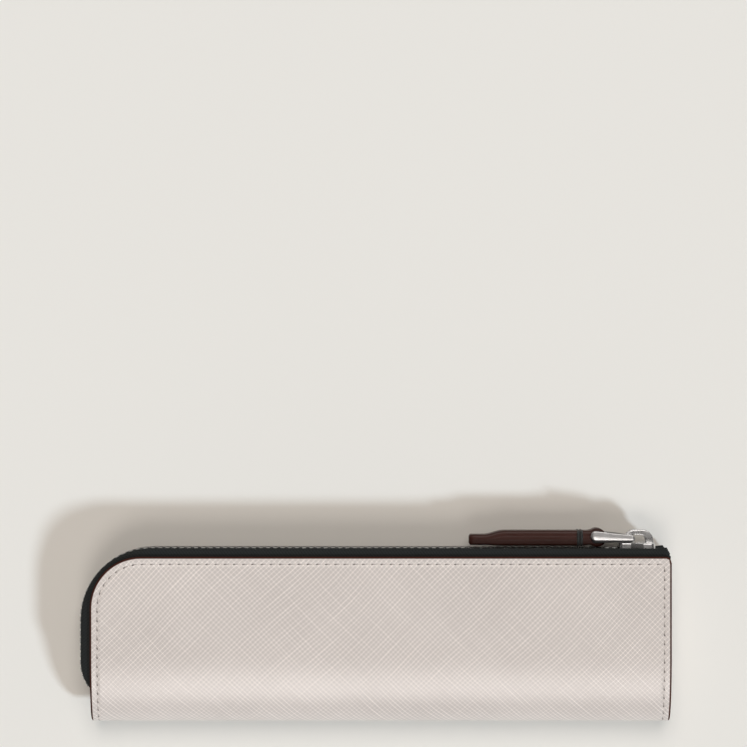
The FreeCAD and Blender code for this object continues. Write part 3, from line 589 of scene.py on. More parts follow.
def seam_pods(line, along, lean, length, width, height, leather):
    """Flat ellipsoids in the bottom of a seam's line, leaning across it. Gives their places and how far ahead
    on its pod each place lies, from -1 to 1."""
    middle, ahead, behind = (
        stitch_frames(line, along + sign * length / 2, np.full_like(along, sign * lean / 2),
                      -leather.groove_depth, leather)
        for sign in (0, 1, -1)
    )
    forward = unit(ahead[0] - behind[0])[:, :, None]
    place, up = (values[:, :, None] for values in middle)
    tilt = np.linspace(-QUARTER, QUARTER, POD_RINGS)[:, None, None]
    turn = full_turn(POD_SIDES)[None, :, None]
    share = np.cos(tilt) * np.cos(turn)
    aside = width / 2 * np.cos(tilt) * np.sin(turn) * np.cross(forward, up)
    places = place + length / 2 * share * forward + aside + height * np.sin(tilt) * up
    return places, np.broadcast_to(share[..., 0], places.shape[:3])


def seam_parts(line, leather):
    """Stitches, needle holes and the leather's swellings between the stitches of one seam.

    A stitch leans across the seam and dips at both ends; its radius is r sqrt(1 - w^6) over w from -1 to 1.
    The hole, a pod in painted shade that is darkest ahead, lies at its far end."""
    total = lengths_along(line)[-1]
    count = int(total / leather.stitch_pitch)
    pitch = total / count
    reach = (pitch - leather.stitch_gap) / 2
    share = np.linspace(-1.0, 1.0, STITCH_RINGS)[None]
    middle = (np.arange(count)[:, None] + 0.5) * pitch
    along = middle + share * reach
    across = np.broadcast_to(share * leather.stitch_slant / 2, along.shape)
    radius = leather.thread / 2
    lift = -leather.rim_drop - radius * (1 + np.abs(share) ** STITCH_DIP_POWER)
    centre, up = stitch_frames(line, along, across, lift, leather)
    turn = full_turn(STITCH_SIDES)
    width = radius * np.sqrt(1 - np.abs(share) ** STITCH_END_POWER)
    stitches = tube_rings(centre, up, width[..., None], turn)
    uv = joined(along[:, :, None], turn * radius)
    holes, ahead = seam_pods(line, middle + reach - leather.hole_length / 2, leather.stitch_slant,
                             leather.hole_length, leather.hole_width,
                             HOLE_HEIGHT * leather.groove_depth, leather)
    between = np.arange(1, count)[:, None] * pitch
    puffs, _ = seam_pods(line, between, 0.0, leather.stitch_gap, leather.puff_width,
                         leather.groove_depth - leather.rim_drop, leather)
    # Painted shade of the holes, darkest ahead where the thread goes down.
    dark = smooth(ahead, -1.0, HOLE_DARK_END)
    pods = [grid_part(holes, tint=dark, close_columns=True), grid_part(puffs, close_columns=True)]
    return grid_part(stitches, uv, close_columns=True), pods


# Zip tapes

def tape_stations(zipper, leather):
    """Stations along a tape from its closed end: edge place, outward direction, chain offset, flange height
    and bead height.

    The chain runs along the top, round a quarter circle, down the left and along an arc that turns in."""
    chain_left = LEFT_X - zipper.chain_left
    centre = np.array([chain_left + zipper.chain_corner, ZIP_Y + zipper.chain_top - zipper.chain_corner])
    corner = np.array([LEFT_X + leather.zip_corner, ZIP_Y - leather.zip_corner])
    turn_centre = np.array([chain_left + zipper.turn_radius, FOLD_Y + zipper.turn_height])
    tail_x = RIGHT_X - zipper.tail_start
    tail = np.linspace(RIGHT_X - zipper.tape_end, tail_x, TAPE_TAIL)[:-1]
    x = np.concatenate([tail, np.linspace(tail_x, centre[0], TAPE_TOP)])
    corner_out = arc(0.0, 0.0, 1.0, np.linspace(QUARTER, 2 * QUARTER, TAPE_CORNER))
    shift = corner - centre
    along = corner_out @ shift
    reach = np.sqrt(zipper.chain_corner ** 2 - shift @ shift + along ** 2) - along
    down = np.linspace(centre[1], turn_centre[1], TAPE_LEFT)[:-1]
    inward = np.linspace(0.0, zipper.turn_angle, TAPE_TURN)
    left = np.concatenate([joined(chain_left, down), arc(*turn_centre, -zipper.turn_radius, inward)])
    corner_edge = corner + leather.zip_corner * corner_out
    edge = np.concatenate([joined(x, ZIP_Y), corner_edge, joined(LEFT_X, left[:, 1])])
    top_out, left_out = np.tile([0.0, 1.0], (len(x), 1)), np.tile([-1.0, 0.0], (len(left), 1))
    outward = np.concatenate([top_out, corner_out, left_out])
    top_offset = np.full_like(x, zipper.chain_top)
    offset = np.concatenate([top_offset, reach - leather.zip_corner, LEFT_X - left[:, 0]])
    depth = leather.layer_start + zipper.tape_thickness / 2
    fall = np.maximum(FOLD_Y + leather.fold_reach - edge[:, 1], 0.0) / (leather.fold_reach - depth)
    flange = (HALF_THICKNESS - depth) * np.sqrt(1 - fall ** 2)
    mouth = edge[:, 0] - SLIDER_HIGH.x + zipper.throat
    parted = np.clip(mouth / (zipper.throat - zipper.shoulder), 0.0, 1.0)
    bead = zipper.bead + zipper.row_spread * parted
    return edge, outward, offset[:, None], flange[:, None], bead[:, None]


def tape_part(side, zipper, leather):
    """One tape: a flange under the leather, a roll at the edge and a run to the bead, carried along stations.

    The roll is a quarter ellipse whose crest stands off the chain line; the run falls to it by (1 - v)^6.
    At the closed end the free tail curls up and is cut ragged, on a slant. Gives the part, its length and its
    width."""
    edge, outward, offset, flange, bead = tape_stations(zipper, leather)
    bulge = zipper.tape_bulge + zipper.tape_swell * np.maximum(outward[:, 1:], 0.0)
    crest = offset + bulge
    bend = np.minimum(crest - zipper.tape_rise, 0.0)
    lap = even_shares(TAPE_LAP)[None, :-1]
    roll = np.linspace(0.0, QUARTER, TAPE_ROLL)[None, :-1]
    fall = even_shares(TAPE_RUN)[None]
    out = np.concatenate([
        -zipper.tape_lap + lap * (bend + zipper.tape_lap),
        bend + (crest - bend) * np.sin(roll),
        offset + bulge * (1 - fall) ** ROLL_FALL_POWER,
    ], 1)
    low = flange - zipper.tape_shoulder
    height = np.concatenate([
        np.broadcast_to(flange, (len(edge), lap.size)),
        flange - zipper.tape_shoulder * (1 - np.cos(roll)),
        low + fall * (bead - low),
    ], 1)
    tail = smooth(edge[:, :1], RIGHT_X - zipper.tail_start, RIGHT_X - zipper.tape_end)
    out = out + zipper.tail_rise * tail * np.clip(out / zipper.chain_top, 0.0, TAIL_LIFT_MOST)
    steps = np.hypot(np.diff(out, axis=1), np.diff(height, axis=1))
    across = np.concatenate([np.zeros((len(edge), 1)), np.cumsum(steps, axis=1)], 1)
    cut = tail * (zipper.tail_fray * ripple(across, FRAY_WAVES) - zipper.tail_slant * np.maximum(out, 0.0))
    slope_out = np.gradient(out, axis=1)
    slope_height = np.gradient(height, axis=1)
    half = zipper.tape_thickness / 2 / np.hypot(slope_out, slope_height)

    def round_edge(upper, lower):
        return np.concatenate([upper, lower[:, ::-1]], 1)

    ring_out = round_edge(out - half * slope_height, out + half * slope_height)
    ring_height = round_edge(height + half * slope_out, height - half * slope_out)
    places = swept(edge, outward, ring_out, side * ring_height)
    places[..., 0] += round_edge(cut, cut)
    run = lengths_along(edge)
    uv = joined(run[:, None], round_edge(across, across))
    return loft(places, uv), run[-1], across[:, -1].mean()


# Metal and leather of the pull

def rounded_ring(half_a, half_b, radius, per_corner, inner_radius=None):
    """A rounded rectangle as offsets along two axes, for arrays of half sizes: corner centres plus a circle.

    The two corners towards +a may have a radius of their own."""
    turn = np.concatenate([np.linspace(0.0, QUARTER, per_corner) + QUARTER * k for k in range(4)])
    sign_a = np.repeat([1.0, -1.0, -1.0, 1.0], per_corner)
    sign_b = np.repeat([1.0, 1.0, -1.0, -1.0], per_corner)
    if inner_radius is not None:
        radius = np.where(sign_a > 0, inner_radius, radius)
    a = sign_a * (half_a[:, None] - radius) + radius * np.cos(turn)
    b = sign_b * (half_b[:, None] - radius) + radius * np.sin(turn)
    return a, b


def softened(points, rounds):
    """An open outline with its corners cut: each side keeps its middle half, round after round."""
    for _ in range(rounds):
        cut = [0.75 * points[:-1] + 0.25 * points[1:], 0.25 * points[:-1] + 0.75 * points[1:]]
        points = np.concatenate([points[:1], np.stack(cut, 1).reshape(-1, 2), points[-1:]])
    return points


def bar_part(x, y, radius, half_length):
    """A round bar across the sleeve."""
    z = MID_Z + np.linspace(-half_length, half_length, BAR_RINGS)[:, None]
    turn = full_turn(BAR_SIDES)
    return loft(joined(x + radius * np.cos(turn), y + radius * np.sin(turn), z))


def link_parts(pull):
    """The link: two arms that taper from the strap to the pivot and flare apart, and two bars.

    An arm's section is a softened outline carried along X: a nearly level face with a ridge low down, a steep
    bevel below it that stops at the inner side, and that flat inner side. Its height grows evenly from tail
    to head and closes as a rounded end, sqrt(1 - t^2.6), over each end's own half height."""
    tail_x, tail_y = PIVOTS["link_swing"][:2]
    head_x, head_y = PIVOTS["strap_swing"][:2]
    start = head_x - pull.link_overhang
    end = tail_x + pull.link_tail / 2
    x = start + (end - start) * (1 - np.cos(np.linspace(0.0, np.pi, LINK_RINGS))) / 2
    along = np.clip((x - head_x) / (tail_x - head_x), -LINK_PAST_BAR, 1.0)
    to_tail = np.maximum(along, 0.0)
    half = (pull.link_head + (pull.link_tail - pull.link_head) * to_tail) / 2
    near_head = np.clip(1 - (x - start) / (pull.link_head / 2), 0.0, 1.0)
    near_tail = np.clip(1 - (end - x) / (pull.link_tail / 2), 0.0, 1.0)
    close = np.sqrt((1 - near_head ** LINK_END_POWER) * (1 - near_tail ** LINK_END_POWER))
    middle_y = head_y + (tail_y - head_y) * along + pull.link_lift
    inner_head = STRAP_HALF_WIDTH + pull.link_clearance
    inner_tail = CROWN_HALF_WIDTH + pull.link_clearance
    flare_from = tail_x - pull.link_head / 2
    flare_to = STRAP_HIGH.x + pull.link_clearance
    flare = np.clip((x - flare_from) / (flare_to - flare_from), 0.0, 1.0)
    inner = (inner_tail + (inner_head - inner_tail) * flare)[:, None]
    depth = pull.link_arm / 2 * half / half.max()
    face = inner_head + pull.link_arm - pull.link_taper * to_tail - depth * (1 - close)
    outline = softened(np.array(LINK_OUTLINE), LINK_ROUNDS)
    a = (half * close)[:, None] * np.concatenate([outline[:, 0], [-1.0, 1.0]])
    bevelled = np.maximum(face[:, None] - depth[:, None] * outline[:, 1], inner)
    out = np.concatenate([bevelled, inner, inner], 1)
    line = joined(x, middle_y)
    return [
        *(loft(swept(line, (0.0, 1.0), a, side * out)) for side in (1, -1)),
        bar_part(tail_x, tail_y, pull.pivot_bar / 2, inner_tail + pull.link_arm / 2),
        bar_part(head_x, head_y, pull.strap_bar / 2, inner_head + pull.link_arm / 2),
    ]


def arch_line(x_from, x_to, base, top, radius):
    """An arch in the side view: a leg up, a quarter circle, a level top, a quarter circle and a leg down."""
    turn = np.linspace(0.0, QUARTER, ARCH_BEND)
    leg = even_shares(ARCH_LEG)[:-1]
    level = even_shares(ARCH_LEVEL)[1:-1]
    reach = radius * (1 - np.cos(turn))
    rise = top - radius * (1 - np.sin(turn))
    up = base + leg * (top - radius - base)
    over = x_from + radius + level * (x_to - x_from - 2 * radius)
    return np.concatenate([
        joined(x_from, up),
        joined(x_from + reach, rise),
        joined(over, top),
        joined(x_to - reach, rise)[::-1],
        joined(x_to, up)[::-1],
    ])


def arch_part(zipper):
    """The slider's arch: a rounded rectangle carried between an outer and an inner arch line."""
    base = SLIDER_HIGH.y - zipper.arch_edge
    top = CROWN_HIGH.y
    outer = arch_line(CROWN_LOW.x, CROWN_HIGH.x, base, top, zipper.arch_radius)
    inner = arch_line(CROWN_LOW.x + zipper.arch_nose, CROWN_HIGH.x - zipper.arch_tail, base,
                      top - zipper.arch_band, zipper.window_radius)
    across = (outer - inner) / 2
    half = np.linalg.norm(across, axis=1)
    a, b = rounded_ring(half, np.full_like(half, CROWN_HALF_WIDTH), zipper.arch_edge, ARCH_CORNER)
    return loft(swept((outer + inner) / 2, across / half[:, None], a, b))


def strap_middle(x, pull):
    """How full the strap is at places along X, from 0 at its thin tip to 1, and the height of its middle."""
    tip = STRAP_LOW.x + pull.tip_length
    full = smooth(x, tip, tip + pull.tip_taper)
    return full, PIVOTS["strap_swing"][1] - pull.drop - pull.tip_sink * (1 - full)


def strap_line(pull):
    """Middle line of the strap's leather in the side view, from the tip round the bar and back to the tip.

    Each leaf lies half a core and half a leaf off the middle, less at the thin tip, and swings out
    in a cubic curve on to a circle round the bar."""
    bar_x, bar_y = PIVOTS["strap_swing"][:2]
    x = np.linspace(STRAP_LOW.x, bar_x - pull.neck, LEAF_SAMPLES)
    full, middle = strap_middle(x, pull)
    stand = (pull.tip_leaf + (pull.core + pull.leaf - pull.tip_leaf) * full) / 2
    radius = pull.strap_bar / 2 + pull.loop_clearance + pull.leaf / 2
    loop_y = bar_y - pull.loop_clearance / 2
    t = even_shares(SWING_SAMPLES)[1:, None]

    def swing(sign):
        start = np.array([x[-1], middle[-1] + sign * stand[-1]])
        end = np.array([bar_x + radius * np.cos(LOOP_MEET), loop_y - sign * radius * np.sin(LOOP_MEET)])
        reach = np.linalg.norm(end - start)
        leave = np.array([reach, 0.0])
        arrive = reach * np.array([-np.sin(LOOP_MEET), -sign * np.cos(LOOP_MEET)])
        return ((2 * t ** 3 - 3 * t ** 2 + 1) * start + (t ** 3 - 2 * t ** 2 + t) * leave
                + (3 * t ** 2 - 2 * t ** 3) * end + (t ** 3 - t ** 2) * arrive)

    turn = np.linspace(LOOP_MEET, 4 * np.pi - LOOP_MEET, LOOP_SAMPLES)[1:-1]
    loop = arc(bar_x, loop_y, radius, turn)
    lower, upper = joined(x, middle - stand), joined(x, middle + stand)
    line = np.concatenate([lower, swing(-1), loop, swing(1)[::-1], upper[::-1]])
    return resample(line, even_shares(STRAP_RINGS))


def strap_part(pull):
    """The folded strap: a rounded rectangle, a leaf thick and a strap wide, carried along its middle line."""
    line = strap_line(pull)
    forward = unit(np.gradient(line, axis=0))
    normal = joined(-forward[:, 1], forward[:, 0])
    from_tip = line[:, 0] - STRAP_LOW.x
    half = (pull.tip_leaf + (pull.leaf - pull.tip_leaf) * strap_middle(line[:, 0], pull)[0]) / 2
    drawn_in = 1 - np.clip(from_tip / pull.tip_leaf, 0.0, 1.0)
    wide = STRAP_HALF_WIDTH - pull.edge * (1 - np.sqrt(1 - drawn_in ** 2))
    a, b = rounded_ring(half, wide, pull.edge, STRAP_CORNER, pull.seam_edge)
    near_tip = np.clip(1 - from_tip / pull.tip_round, 0.0, 1.0)
    cut = pull.tip_round / half * (1 - np.sqrt(1 - near_tip ** 2))
    a = np.where(a < 0, a * (1 - cut)[:, None], a)
    uv = joined(lengths_along(line)[:, None], b)
    return loft(swept(line, normal, a, b), uv)


def core_part(pull):
    """The filler strip: a rounded rectangle carried along X, as thick as the leaves leave room for."""
    end = PIVOTS["strap_swing"][0] - pull.strap_bar / 2 - pull.loop_clearance
    x = np.linspace(STRAP_LOW.x + pull.tip_length, end, CORE_RINGS)
    full, middle = strap_middle(x, pull)
    half = np.maximum(pull.core / 2 * full, pull.seam_edge)
    wide = np.full_like(x, STRAP_HALF_WIDTH - pull.seam_edge / 2)
    a, b = rounded_ring(half, wide, pull.seam_edge, CORE_CORNER)
    return loft(swept(joined(x, middle), (0.0, 1.0), a, b))


def wrap_part(pull):
    """The thread round the neck: a plied tube along a superelliptic winding that steps over on the back side.

    With the turn t, z and y follow |cos t|^(2/p) and |sin t|^(2/p). The tube's radius swells by
    cos(n a - k s), with the angle a round the tube and the length s along it."""
    stand = pull.wrap_thread / 2
    half_y = pull.core / 2 + pull.leaf - WRAP_SINK * stand
    half_z = STRAP_HALF_WIDTH + WRAP_STAND * stand
    half_turns = np.linspace(WRAP_SHORT - 1, 2 * WRAP_TURNS - 1 - WRAP_SHORT, WRAP_SAMPLES)
    cosine, sine = np.cos(half_turns * np.pi), np.sin(half_turns * np.pi)
    z = half_z * np.sign(cosine) * np.abs(cosine) ** (2 / WRAP_POWER)
    y = half_y * np.sign(sine) * np.abs(sine) ** (2 / WRAP_POWER)
    step = np.floor((half_turns + 1) / 2) + smooth(np.mod(half_turns + 1, 2), -WRAP_STEP, WRAP_STEP)
    x = (WRAP_LOW.x + WRAP_HIGH.x) / 2 + (step - (WRAP_TURNS + 1) / 2) * pull.wrap_pitch
    middle_y = PIVOTS["strap_swing"][1] - pull.drop
    path = resample(joined(x, middle_y + y, MID_Z + z), even_shares(WRAP_RINGS))
    outward = path * (0, 1, 1) - (0, middle_y, MID_Z)
    around = full_turn(WRAP_SIDES)
    lay = lengths_along(path)[:, None] * 2 * np.pi / (PLY_LAY * pull.wrap_thread)
    radius = PLY_RADIUS * stand * (1 + PLY_SWELL * np.cos(PLIES * around - lay))
    return loft(tube_rings(path, outward, radius, around))


def gusset_part(leather):
    """The end wall: rows from the fold's tip up, each running in along the front flange, across the wall and
    out along the back flange. The section narrows as the ellipse does; the flange ends below the tapes."""
    middle = (leather.layer_start + leather.lining_depth) / 2
    wall = GUSSET_LOW.x
    a = leather.fold_reach - middle
    b = HALF_THICKNESS - middle
    turn = np.linspace(WALL_TIP_TURN, QUARTER, WALL_FOLD)
    top = np.linspace(FOLD_Y + leather.fold_reach, GUSSET_HIGH.y, WALL_TOP)[1:]
    y = np.concatenate([FOLD_Y + leather.fold_reach - a * np.cos(turn), top])
    half = np.concatenate([b * np.sin(turn), np.full_like(top, b)])
    seat = ZIP_Y - leather.rim_width - 2 * leather.thickness
    flange = (GUSSET_HIGH.x - wall) * (1 - FLANGE_LOSS * smooth(y, seat - leather.thickness, seat))
    bend = np.minimum(leather.thickness, half)[:, None]
    share = np.linspace(1.0, 0.0, WALL_FLANGE)[None, :-1]
    turn = np.linspace(0.0, QUARTER, WALL_BEND)[None, :-1]
    half = half[:, None]
    run_in = wall + bend + share * np.maximum(flange[:, None] - bend, 0.0)
    round_x = wall + bend * (1 - np.sin(turn))
    round_z = half - bend * (1 - np.cos(turn))
    level_z = (half - bend) * np.linspace(1.0, -1.0, WALL_LEVEL)[None]
    edge_z = np.broadcast_to(half, run_in.shape)
    level_x = np.full_like(level_z, wall)
    x = np.concatenate([run_in, round_x, level_x, round_x[:, ::-1], run_in[:, ::-1]], 1)
    z = np.concatenate([edge_z, round_z, level_z, -round_z[:, ::-1], -edge_z], 1)
    return grid_part(joined(x, y[:, None], MID_Z + z), joined(y[:, None], z + x))


# Materials. A noise scale is in features per unit of its map, which is a metre on the pieces.

def fill(tree, socket, value):
    """Links a socket into an input, or sets a plain value on it."""
    if isinstance(value, bpy.types.NodeSocket):
        tree.links.new(value, socket)
    else:
        socket.default_value = value


def node(tree, kind, inputs=None, **settings):
    """Adds a node with settings and inputs."""
    made = tree.nodes.new(kind)
    for key, value in settings.items():
        setattr(made, key, value)
    for key, value in (inputs or {}).items():
        fill(tree, made.inputs[key], value)
    return made


def maths(tree, operation, *values):
    """A Math node's result."""
    return node(tree, "ShaderNodeMath", dict(enumerate(values)), operation=operation).outputs[0]


def graded(tree, value, by, start):
    """A number that grows from start by a multiple of a value."""
    return maths(tree, "MULTIPLY_ADD", value, by, start)


def vector_maths(tree, operation, first, second):
    """A Vector Math node's vector and value."""
    return node(tree, "ShaderNodeVectorMath", {0: first, 1: second}, operation=operation).outputs


def blend_colour(tree, share, first, second):
    """A colour between two, by a share."""
    made = node(tree, "ShaderNodeMix", data_type="RGBA")
    for index, value in ((0, share), (6, first), (7, second)):
        fill(tree, made.inputs[index], value)
    return made.outputs[2]


def step_up(tree, value, start, end, low=0.0, high=1.0):
    """A smooth step of a value from low at start to high at end."""
    inputs = {0: value, 1: start, 2: end, 3: low, 4: high}
    return node(tree, "ShaderNodeMapRange", inputs, interpolation_type="SMOOTHSTEP").outputs[0]


def noise(tree, vector, scale, detail):
    """A noise texture's value and colour."""
    return node(tree, "ShaderNodeTexNoise", {"Vector": vector, "Scale": scale, "Detail": detail}).outputs


def patches(tree, vector, scale, detail, low=0.0, high=1.0):
    """Soft patches of noise between two values."""
    return step_up(tree, noise(tree, vector, scale, detail)[0], PATCH_START, PATCH_END, low, high)


def swayed(tree, vector, place, scale, reach):
    """A vector moved about by the colour of noise at a place, by half the reach at most."""
    off = vector_maths(tree, "SUBTRACT", noise(tree, place, scale, detail=1.0)[1], (0.5, 0.5, 0.5))[0]
    move = node(tree, "ShaderNodeVectorMath", {0: off, "Scale": reach}, operation="SCALE").outputs[0]
    return vector_maths(tree, "ADD", vector, move)[0]


def bump(tree, height, distance):
    """A bump normal from a height."""
    return node(tree, "ShaderNodeBump", {"Height": height, "Distance": distance, "Strength": 1.0}).outputs[0]


def rgba(value, factor=1.0):
    """A colour, darkened or lightened by a factor, as four numbers."""
    return (*(min(channel * factor, 1.0) for channel in value[:3]), 1.0)


def toned(tree, share, base, low, high):
    """A colour between a darker and a lighter shade of itself, by a share."""
    return blend_colour(tree, share, rgba(base, low), rgba(base, high))


def set_inputs(tree, shader, **values):
    """Fills a shader's inputs; underscores stand for the spaces in their names."""
    for key, value in values.items():
        fill(tree, shader.inputs[key.replace("_", " ")], value)


def new_finish(name, **values):
    """A material with its shader's inputs set."""
    material = bpy.data.materials.new(name)
    material.use_nodes = True
    tree = material.node_tree
    shader = tree.nodes["Principled BSDF"]
    set_inputs(tree, shader, **values)
    return material, tree, shader


def sheet_map(tree):
    """The piece's own map, in metres along and across its surface."""
    return node(tree, "ShaderNodeUVMap", uv_map="sheet").outputs[0]


def object_map(tree):
    """Object coordinates."""
    return node(tree, "ShaderNodeTexCoord").outputs["Object"]


def tint_share(tree):
    """The piece's tint, from 0 to 1."""
    return node(tree, "ShaderNodeAttribute", attribute_name="tint").outputs["Fac"]


def line_place(tree, vector, turn, spacing):
    """How far across and along a set of parallel lines a place lies, in line spacings."""
    ways = ((-np.sin(turn), np.cos(turn)), (np.cos(turn), np.sin(turn)))
    return [vector_maths(tree, "DOT_PRODUCT", vector, (x / spacing, y / spacing, 0.0))[1] for x, y in ways]


def ridge(tree, across, width):
    """Ridges at whole numbers: a triangle wave narrowed by a smooth step."""
    return step_up(tree, maths(tree, "PINGPONG", across, 0.5), 0.0, width, 1.0, 0.0)


def embossed_lines(tree, vector, from_tip, spacing, ruling):
    """Hand-ruled ridges: each line strays off its place and has a strength of its own, by long thin noise.
    Towards the fold's tip all of them change in strength, in relief and in tone; the change in tone is a
    painted sheen of the fold."""
    across, along = line_place(tree, vector, np.radians(ruling.slant), spacing)
    waves = []
    for pace, run in RULING_NOISE:
        place = {"X": maths(tree, "MULTIPLY", across, pace), "Y": maths(tree, "MULTIPLY", along, run)}
        stretched = node(tree, "ShaderNodeCombineXYZ", place).outputs[0]
        waves.append(noise(tree, stretched, scale=1.0, detail=1.0)[0])
    lines = ridge(tree, graded(tree, waves[0], RULING_STRAY, across), RIDGE_WIDTH)
    strength = step_up(tree, waves[1], PATCH_START, PATCH_END, ruling.faint, ruling.strong)
    # Painted sheen of the fold: the lines' strength changes towards the fold's tip.
    tip_sheen = step_up(tree, from_tip, ruling.fade_from, ruling.fade_to, ruling.at_tip, 1.0)
    return maths(tree, "MULTIPLY", maths(tree, "MULTIPLY", lines, strength), tip_sheen)


def ivory_leather(leather):
    """Pale leather with an embossed cross-hatch grain and painted edges. The grain's tone holds a painted
    highlight on the ridges and painted shade between them.
    """
    material, tree, shader = new_finish("ivory_leather", IOR=1.6)
    sheet = sheet_map(tree)
    warped = swayed(tree, sheet, sheet, scale=16.0, reach=0.006)
    warped = swayed(tree, warped, sheet, scale=420.0, reach=0.0002)
    from_tip = maths(tree, "ABSOLUTE", node(tree, "ShaderNodeSeparateXYZ", {0: sheet}).outputs["Y"])
    rising = embossed_lines(tree, warped, from_tip, leather.grain_spacing, RISING)
    falling = embossed_lines(tree, warped, from_tip, leather.grain_spacing, FALLING)
    ridges = maths(tree, "MAXIMUM", rising, falling)
    pores = noise(tree, sheet, scale=5200.0, detail=2.0)[0]
    paint = tint_share(tree)
    bare = maths(tree, "SUBTRACT", 1.0, paint)
    height = graded(tree, pores, PORE_HEIGHT, maths(tree, "MULTIPLY", ridges, bare))
    mottle = patches(tree, sheet, scale=38.0, detail=3.0, low=0.205, high=0.275)
    tone = graded(tree, falling, FALLING.tone, graded(tree, rising, RISING.tone, mottle))
    # Grain colour: light on the ridges and dark between them, the grain's tone with painted highlight and
    # shade.
    grain = blend_colour(tree, tone, rgba(leather.ivory_shade), rgba(leather.ivory))
    wear = noise(tree, sheet, scale=900.0, detail=3.0)[0]
    worn = toned(tree, wear, leather.edge_paint, low=1.0, high=1.5)
    set_inputs(tree, shader, Base_Color=blend_colour(tree, paint, grain, worn), Specular_IOR_Level=bare,
               Roughness=graded(tree, pores, by=0.1, start=0.31),
               Normal=bump(tree, height, leather.grain_depth))
    return material


def smooth_leather(name, base, roughness, gloss, grain_scale, grain_depth):
    """Smooth leather: fine pebbles from a Voronoi texture, slow changes of tone and sheen."""
    material, tree, shader = new_finish(name, Specular_IOR_Level=gloss)
    place = object_map(tree)
    pebbles = node(tree, "ShaderNodeTexVoronoi", {"Vector": place, "Scale": grain_scale}).outputs["Distance"]
    tone = patches(tree, place, scale=260.0, detail=3.0)
    set_inputs(tree, shader, Base_Color=toned(tree, tone, base, low=0.93, high=1.07),
               Roughness=graded(tree, tone, by=0.08, start=roughness),
               Normal=bump(tree, pebbles, grain_depth))
    return material


def woven_cloth(name, base, rib_highlight, pitch, depth, slants, roughness):
    """Cloth: two sets of ribs on the piece's own map, fuzzier on top, where a painted highlight makes them
    lighter.
    """
    material, tree, shader = new_finish(name, Roughness=roughness, Specular_IOR_Level=0.2)
    sheet = sheet_map(tree)
    ribs = [ridge(tree, line_place(tree, sheet, np.radians(slant), pitch)[0], RIB_WIDTH) for slant in slants]
    weave = maths(tree, "MAXIMUM", ribs[0], maths(tree, "MULTIPLY", ribs[1], SECOND_RIB))
    fibre = noise(tree, sheet, scale=9000.0, detail=3.0)[0]
    height = graded(tree, fibre, by=0.5, start=weave)
    fuzz = step_up(tree, fibre, PATCH_START, PATCH_END, low=0.4)
    tone = maths(tree, "MULTIPLY", weave, fuzz)
    # Painted highlight on the ribs' tops, broken up by the fuzz.
    set_inputs(tree, shader, Base_Color=blend_colour(tree, tone, rgba(base), rgba(rib_highlight)),
               Normal=bump(tree, height, depth))
    return material


def spun_thread(name, base, roughness):
    """Thread: fine slanted plies and stray fibres."""
    material, tree, shader = new_finish(name, Roughness=roughness, Sheen_Weight=0.1)
    place = object_map(tree)
    twist = {"Vector": place, "Scale": 900.0, "Distortion": 1.5, "Detail": 1.0}
    plies = node(tree, "ShaderNodeTexWave", twist, bands_direction="DIAGONAL").outputs["Fac"]
    fibre = noise(tree, place, scale=9000.0, detail=2.0)[0]
    tone = maths(tree, "MULTIPLY", maths(tree, "ADD", fibre, plies), 0.5)
    set_inputs(tree, shader, Base_Color=toned(tree, tone, base, low=0.75, high=1.25),
               Normal=bump(tree, tone, THREAD_RELIEF))
    return material


def needle_hole(leather):
    """Painted shade of a needle hole, darkest where the thread goes down, and the swelling beside it, a
    little lighter than the leather as a painted highlight.
    """
    material, tree, shader = new_finish("needle_hole", Roughness=0.9, Specular_IOR_Level=0.1)
    uneven = patches(tree, object_map(tree), scale=700.0, detail=2.0, low=0.75)
    share = maths(tree, "MULTIPLY", tint_share(tree), uneven)
    light, dark = np.array(leather.ivory), np.array(leather.ivory_shade)
    # The swelling's colour sits a little above the leather's mean: a painted highlight.
    swelling = SWELLING_HIGHLIGHT * light + (1 - SWELLING_HIGHLIGHT) * dark
    set_inputs(tree, shader, Base_Color=blend_colour(tree, share, rgba(swelling), rgba(leather.hole_shade)))
    return material


def satin_metal(name, base, roughness, stretch, dent):
    """Satin metal: brush marks or dents, stretched along X, and faint clouding of tone and gloss."""
    material, tree, shader = new_finish(name, Metallic=1.0)
    place = object_map(tree)
    brushed = node(tree, "ShaderNodeMapping", {"Vector": place, "Scale": stretch}).outputs[0]
    marks = noise(tree, brushed, scale=1.0, detail=2.0)[0]
    cloud = noise(tree, place, scale=420.0, detail=3.0)[0]
    set_inputs(tree, shader, Base_Color=toned(tree, cloud, base, low=0.86, high=1.0),
               Roughness=graded(tree, cloud, by=0.05, start=roughness), Normal=bump(tree, marks, dent))
    return material


def pale_floor(stage):
    """A plain matt floor with hardly any change of tone."""
    material, tree, shader = new_finish("pale_floor", Roughness=0.9, Specular_IOR_Level=0.1)
    tone = patches(tree, object_map(tree), scale=6.0, detail=2.0)
    set_inputs(tree, shader, Base_Color=toned(tree, tone, stage.floor, low=0.995, high=1.0))
    return material


# Operators

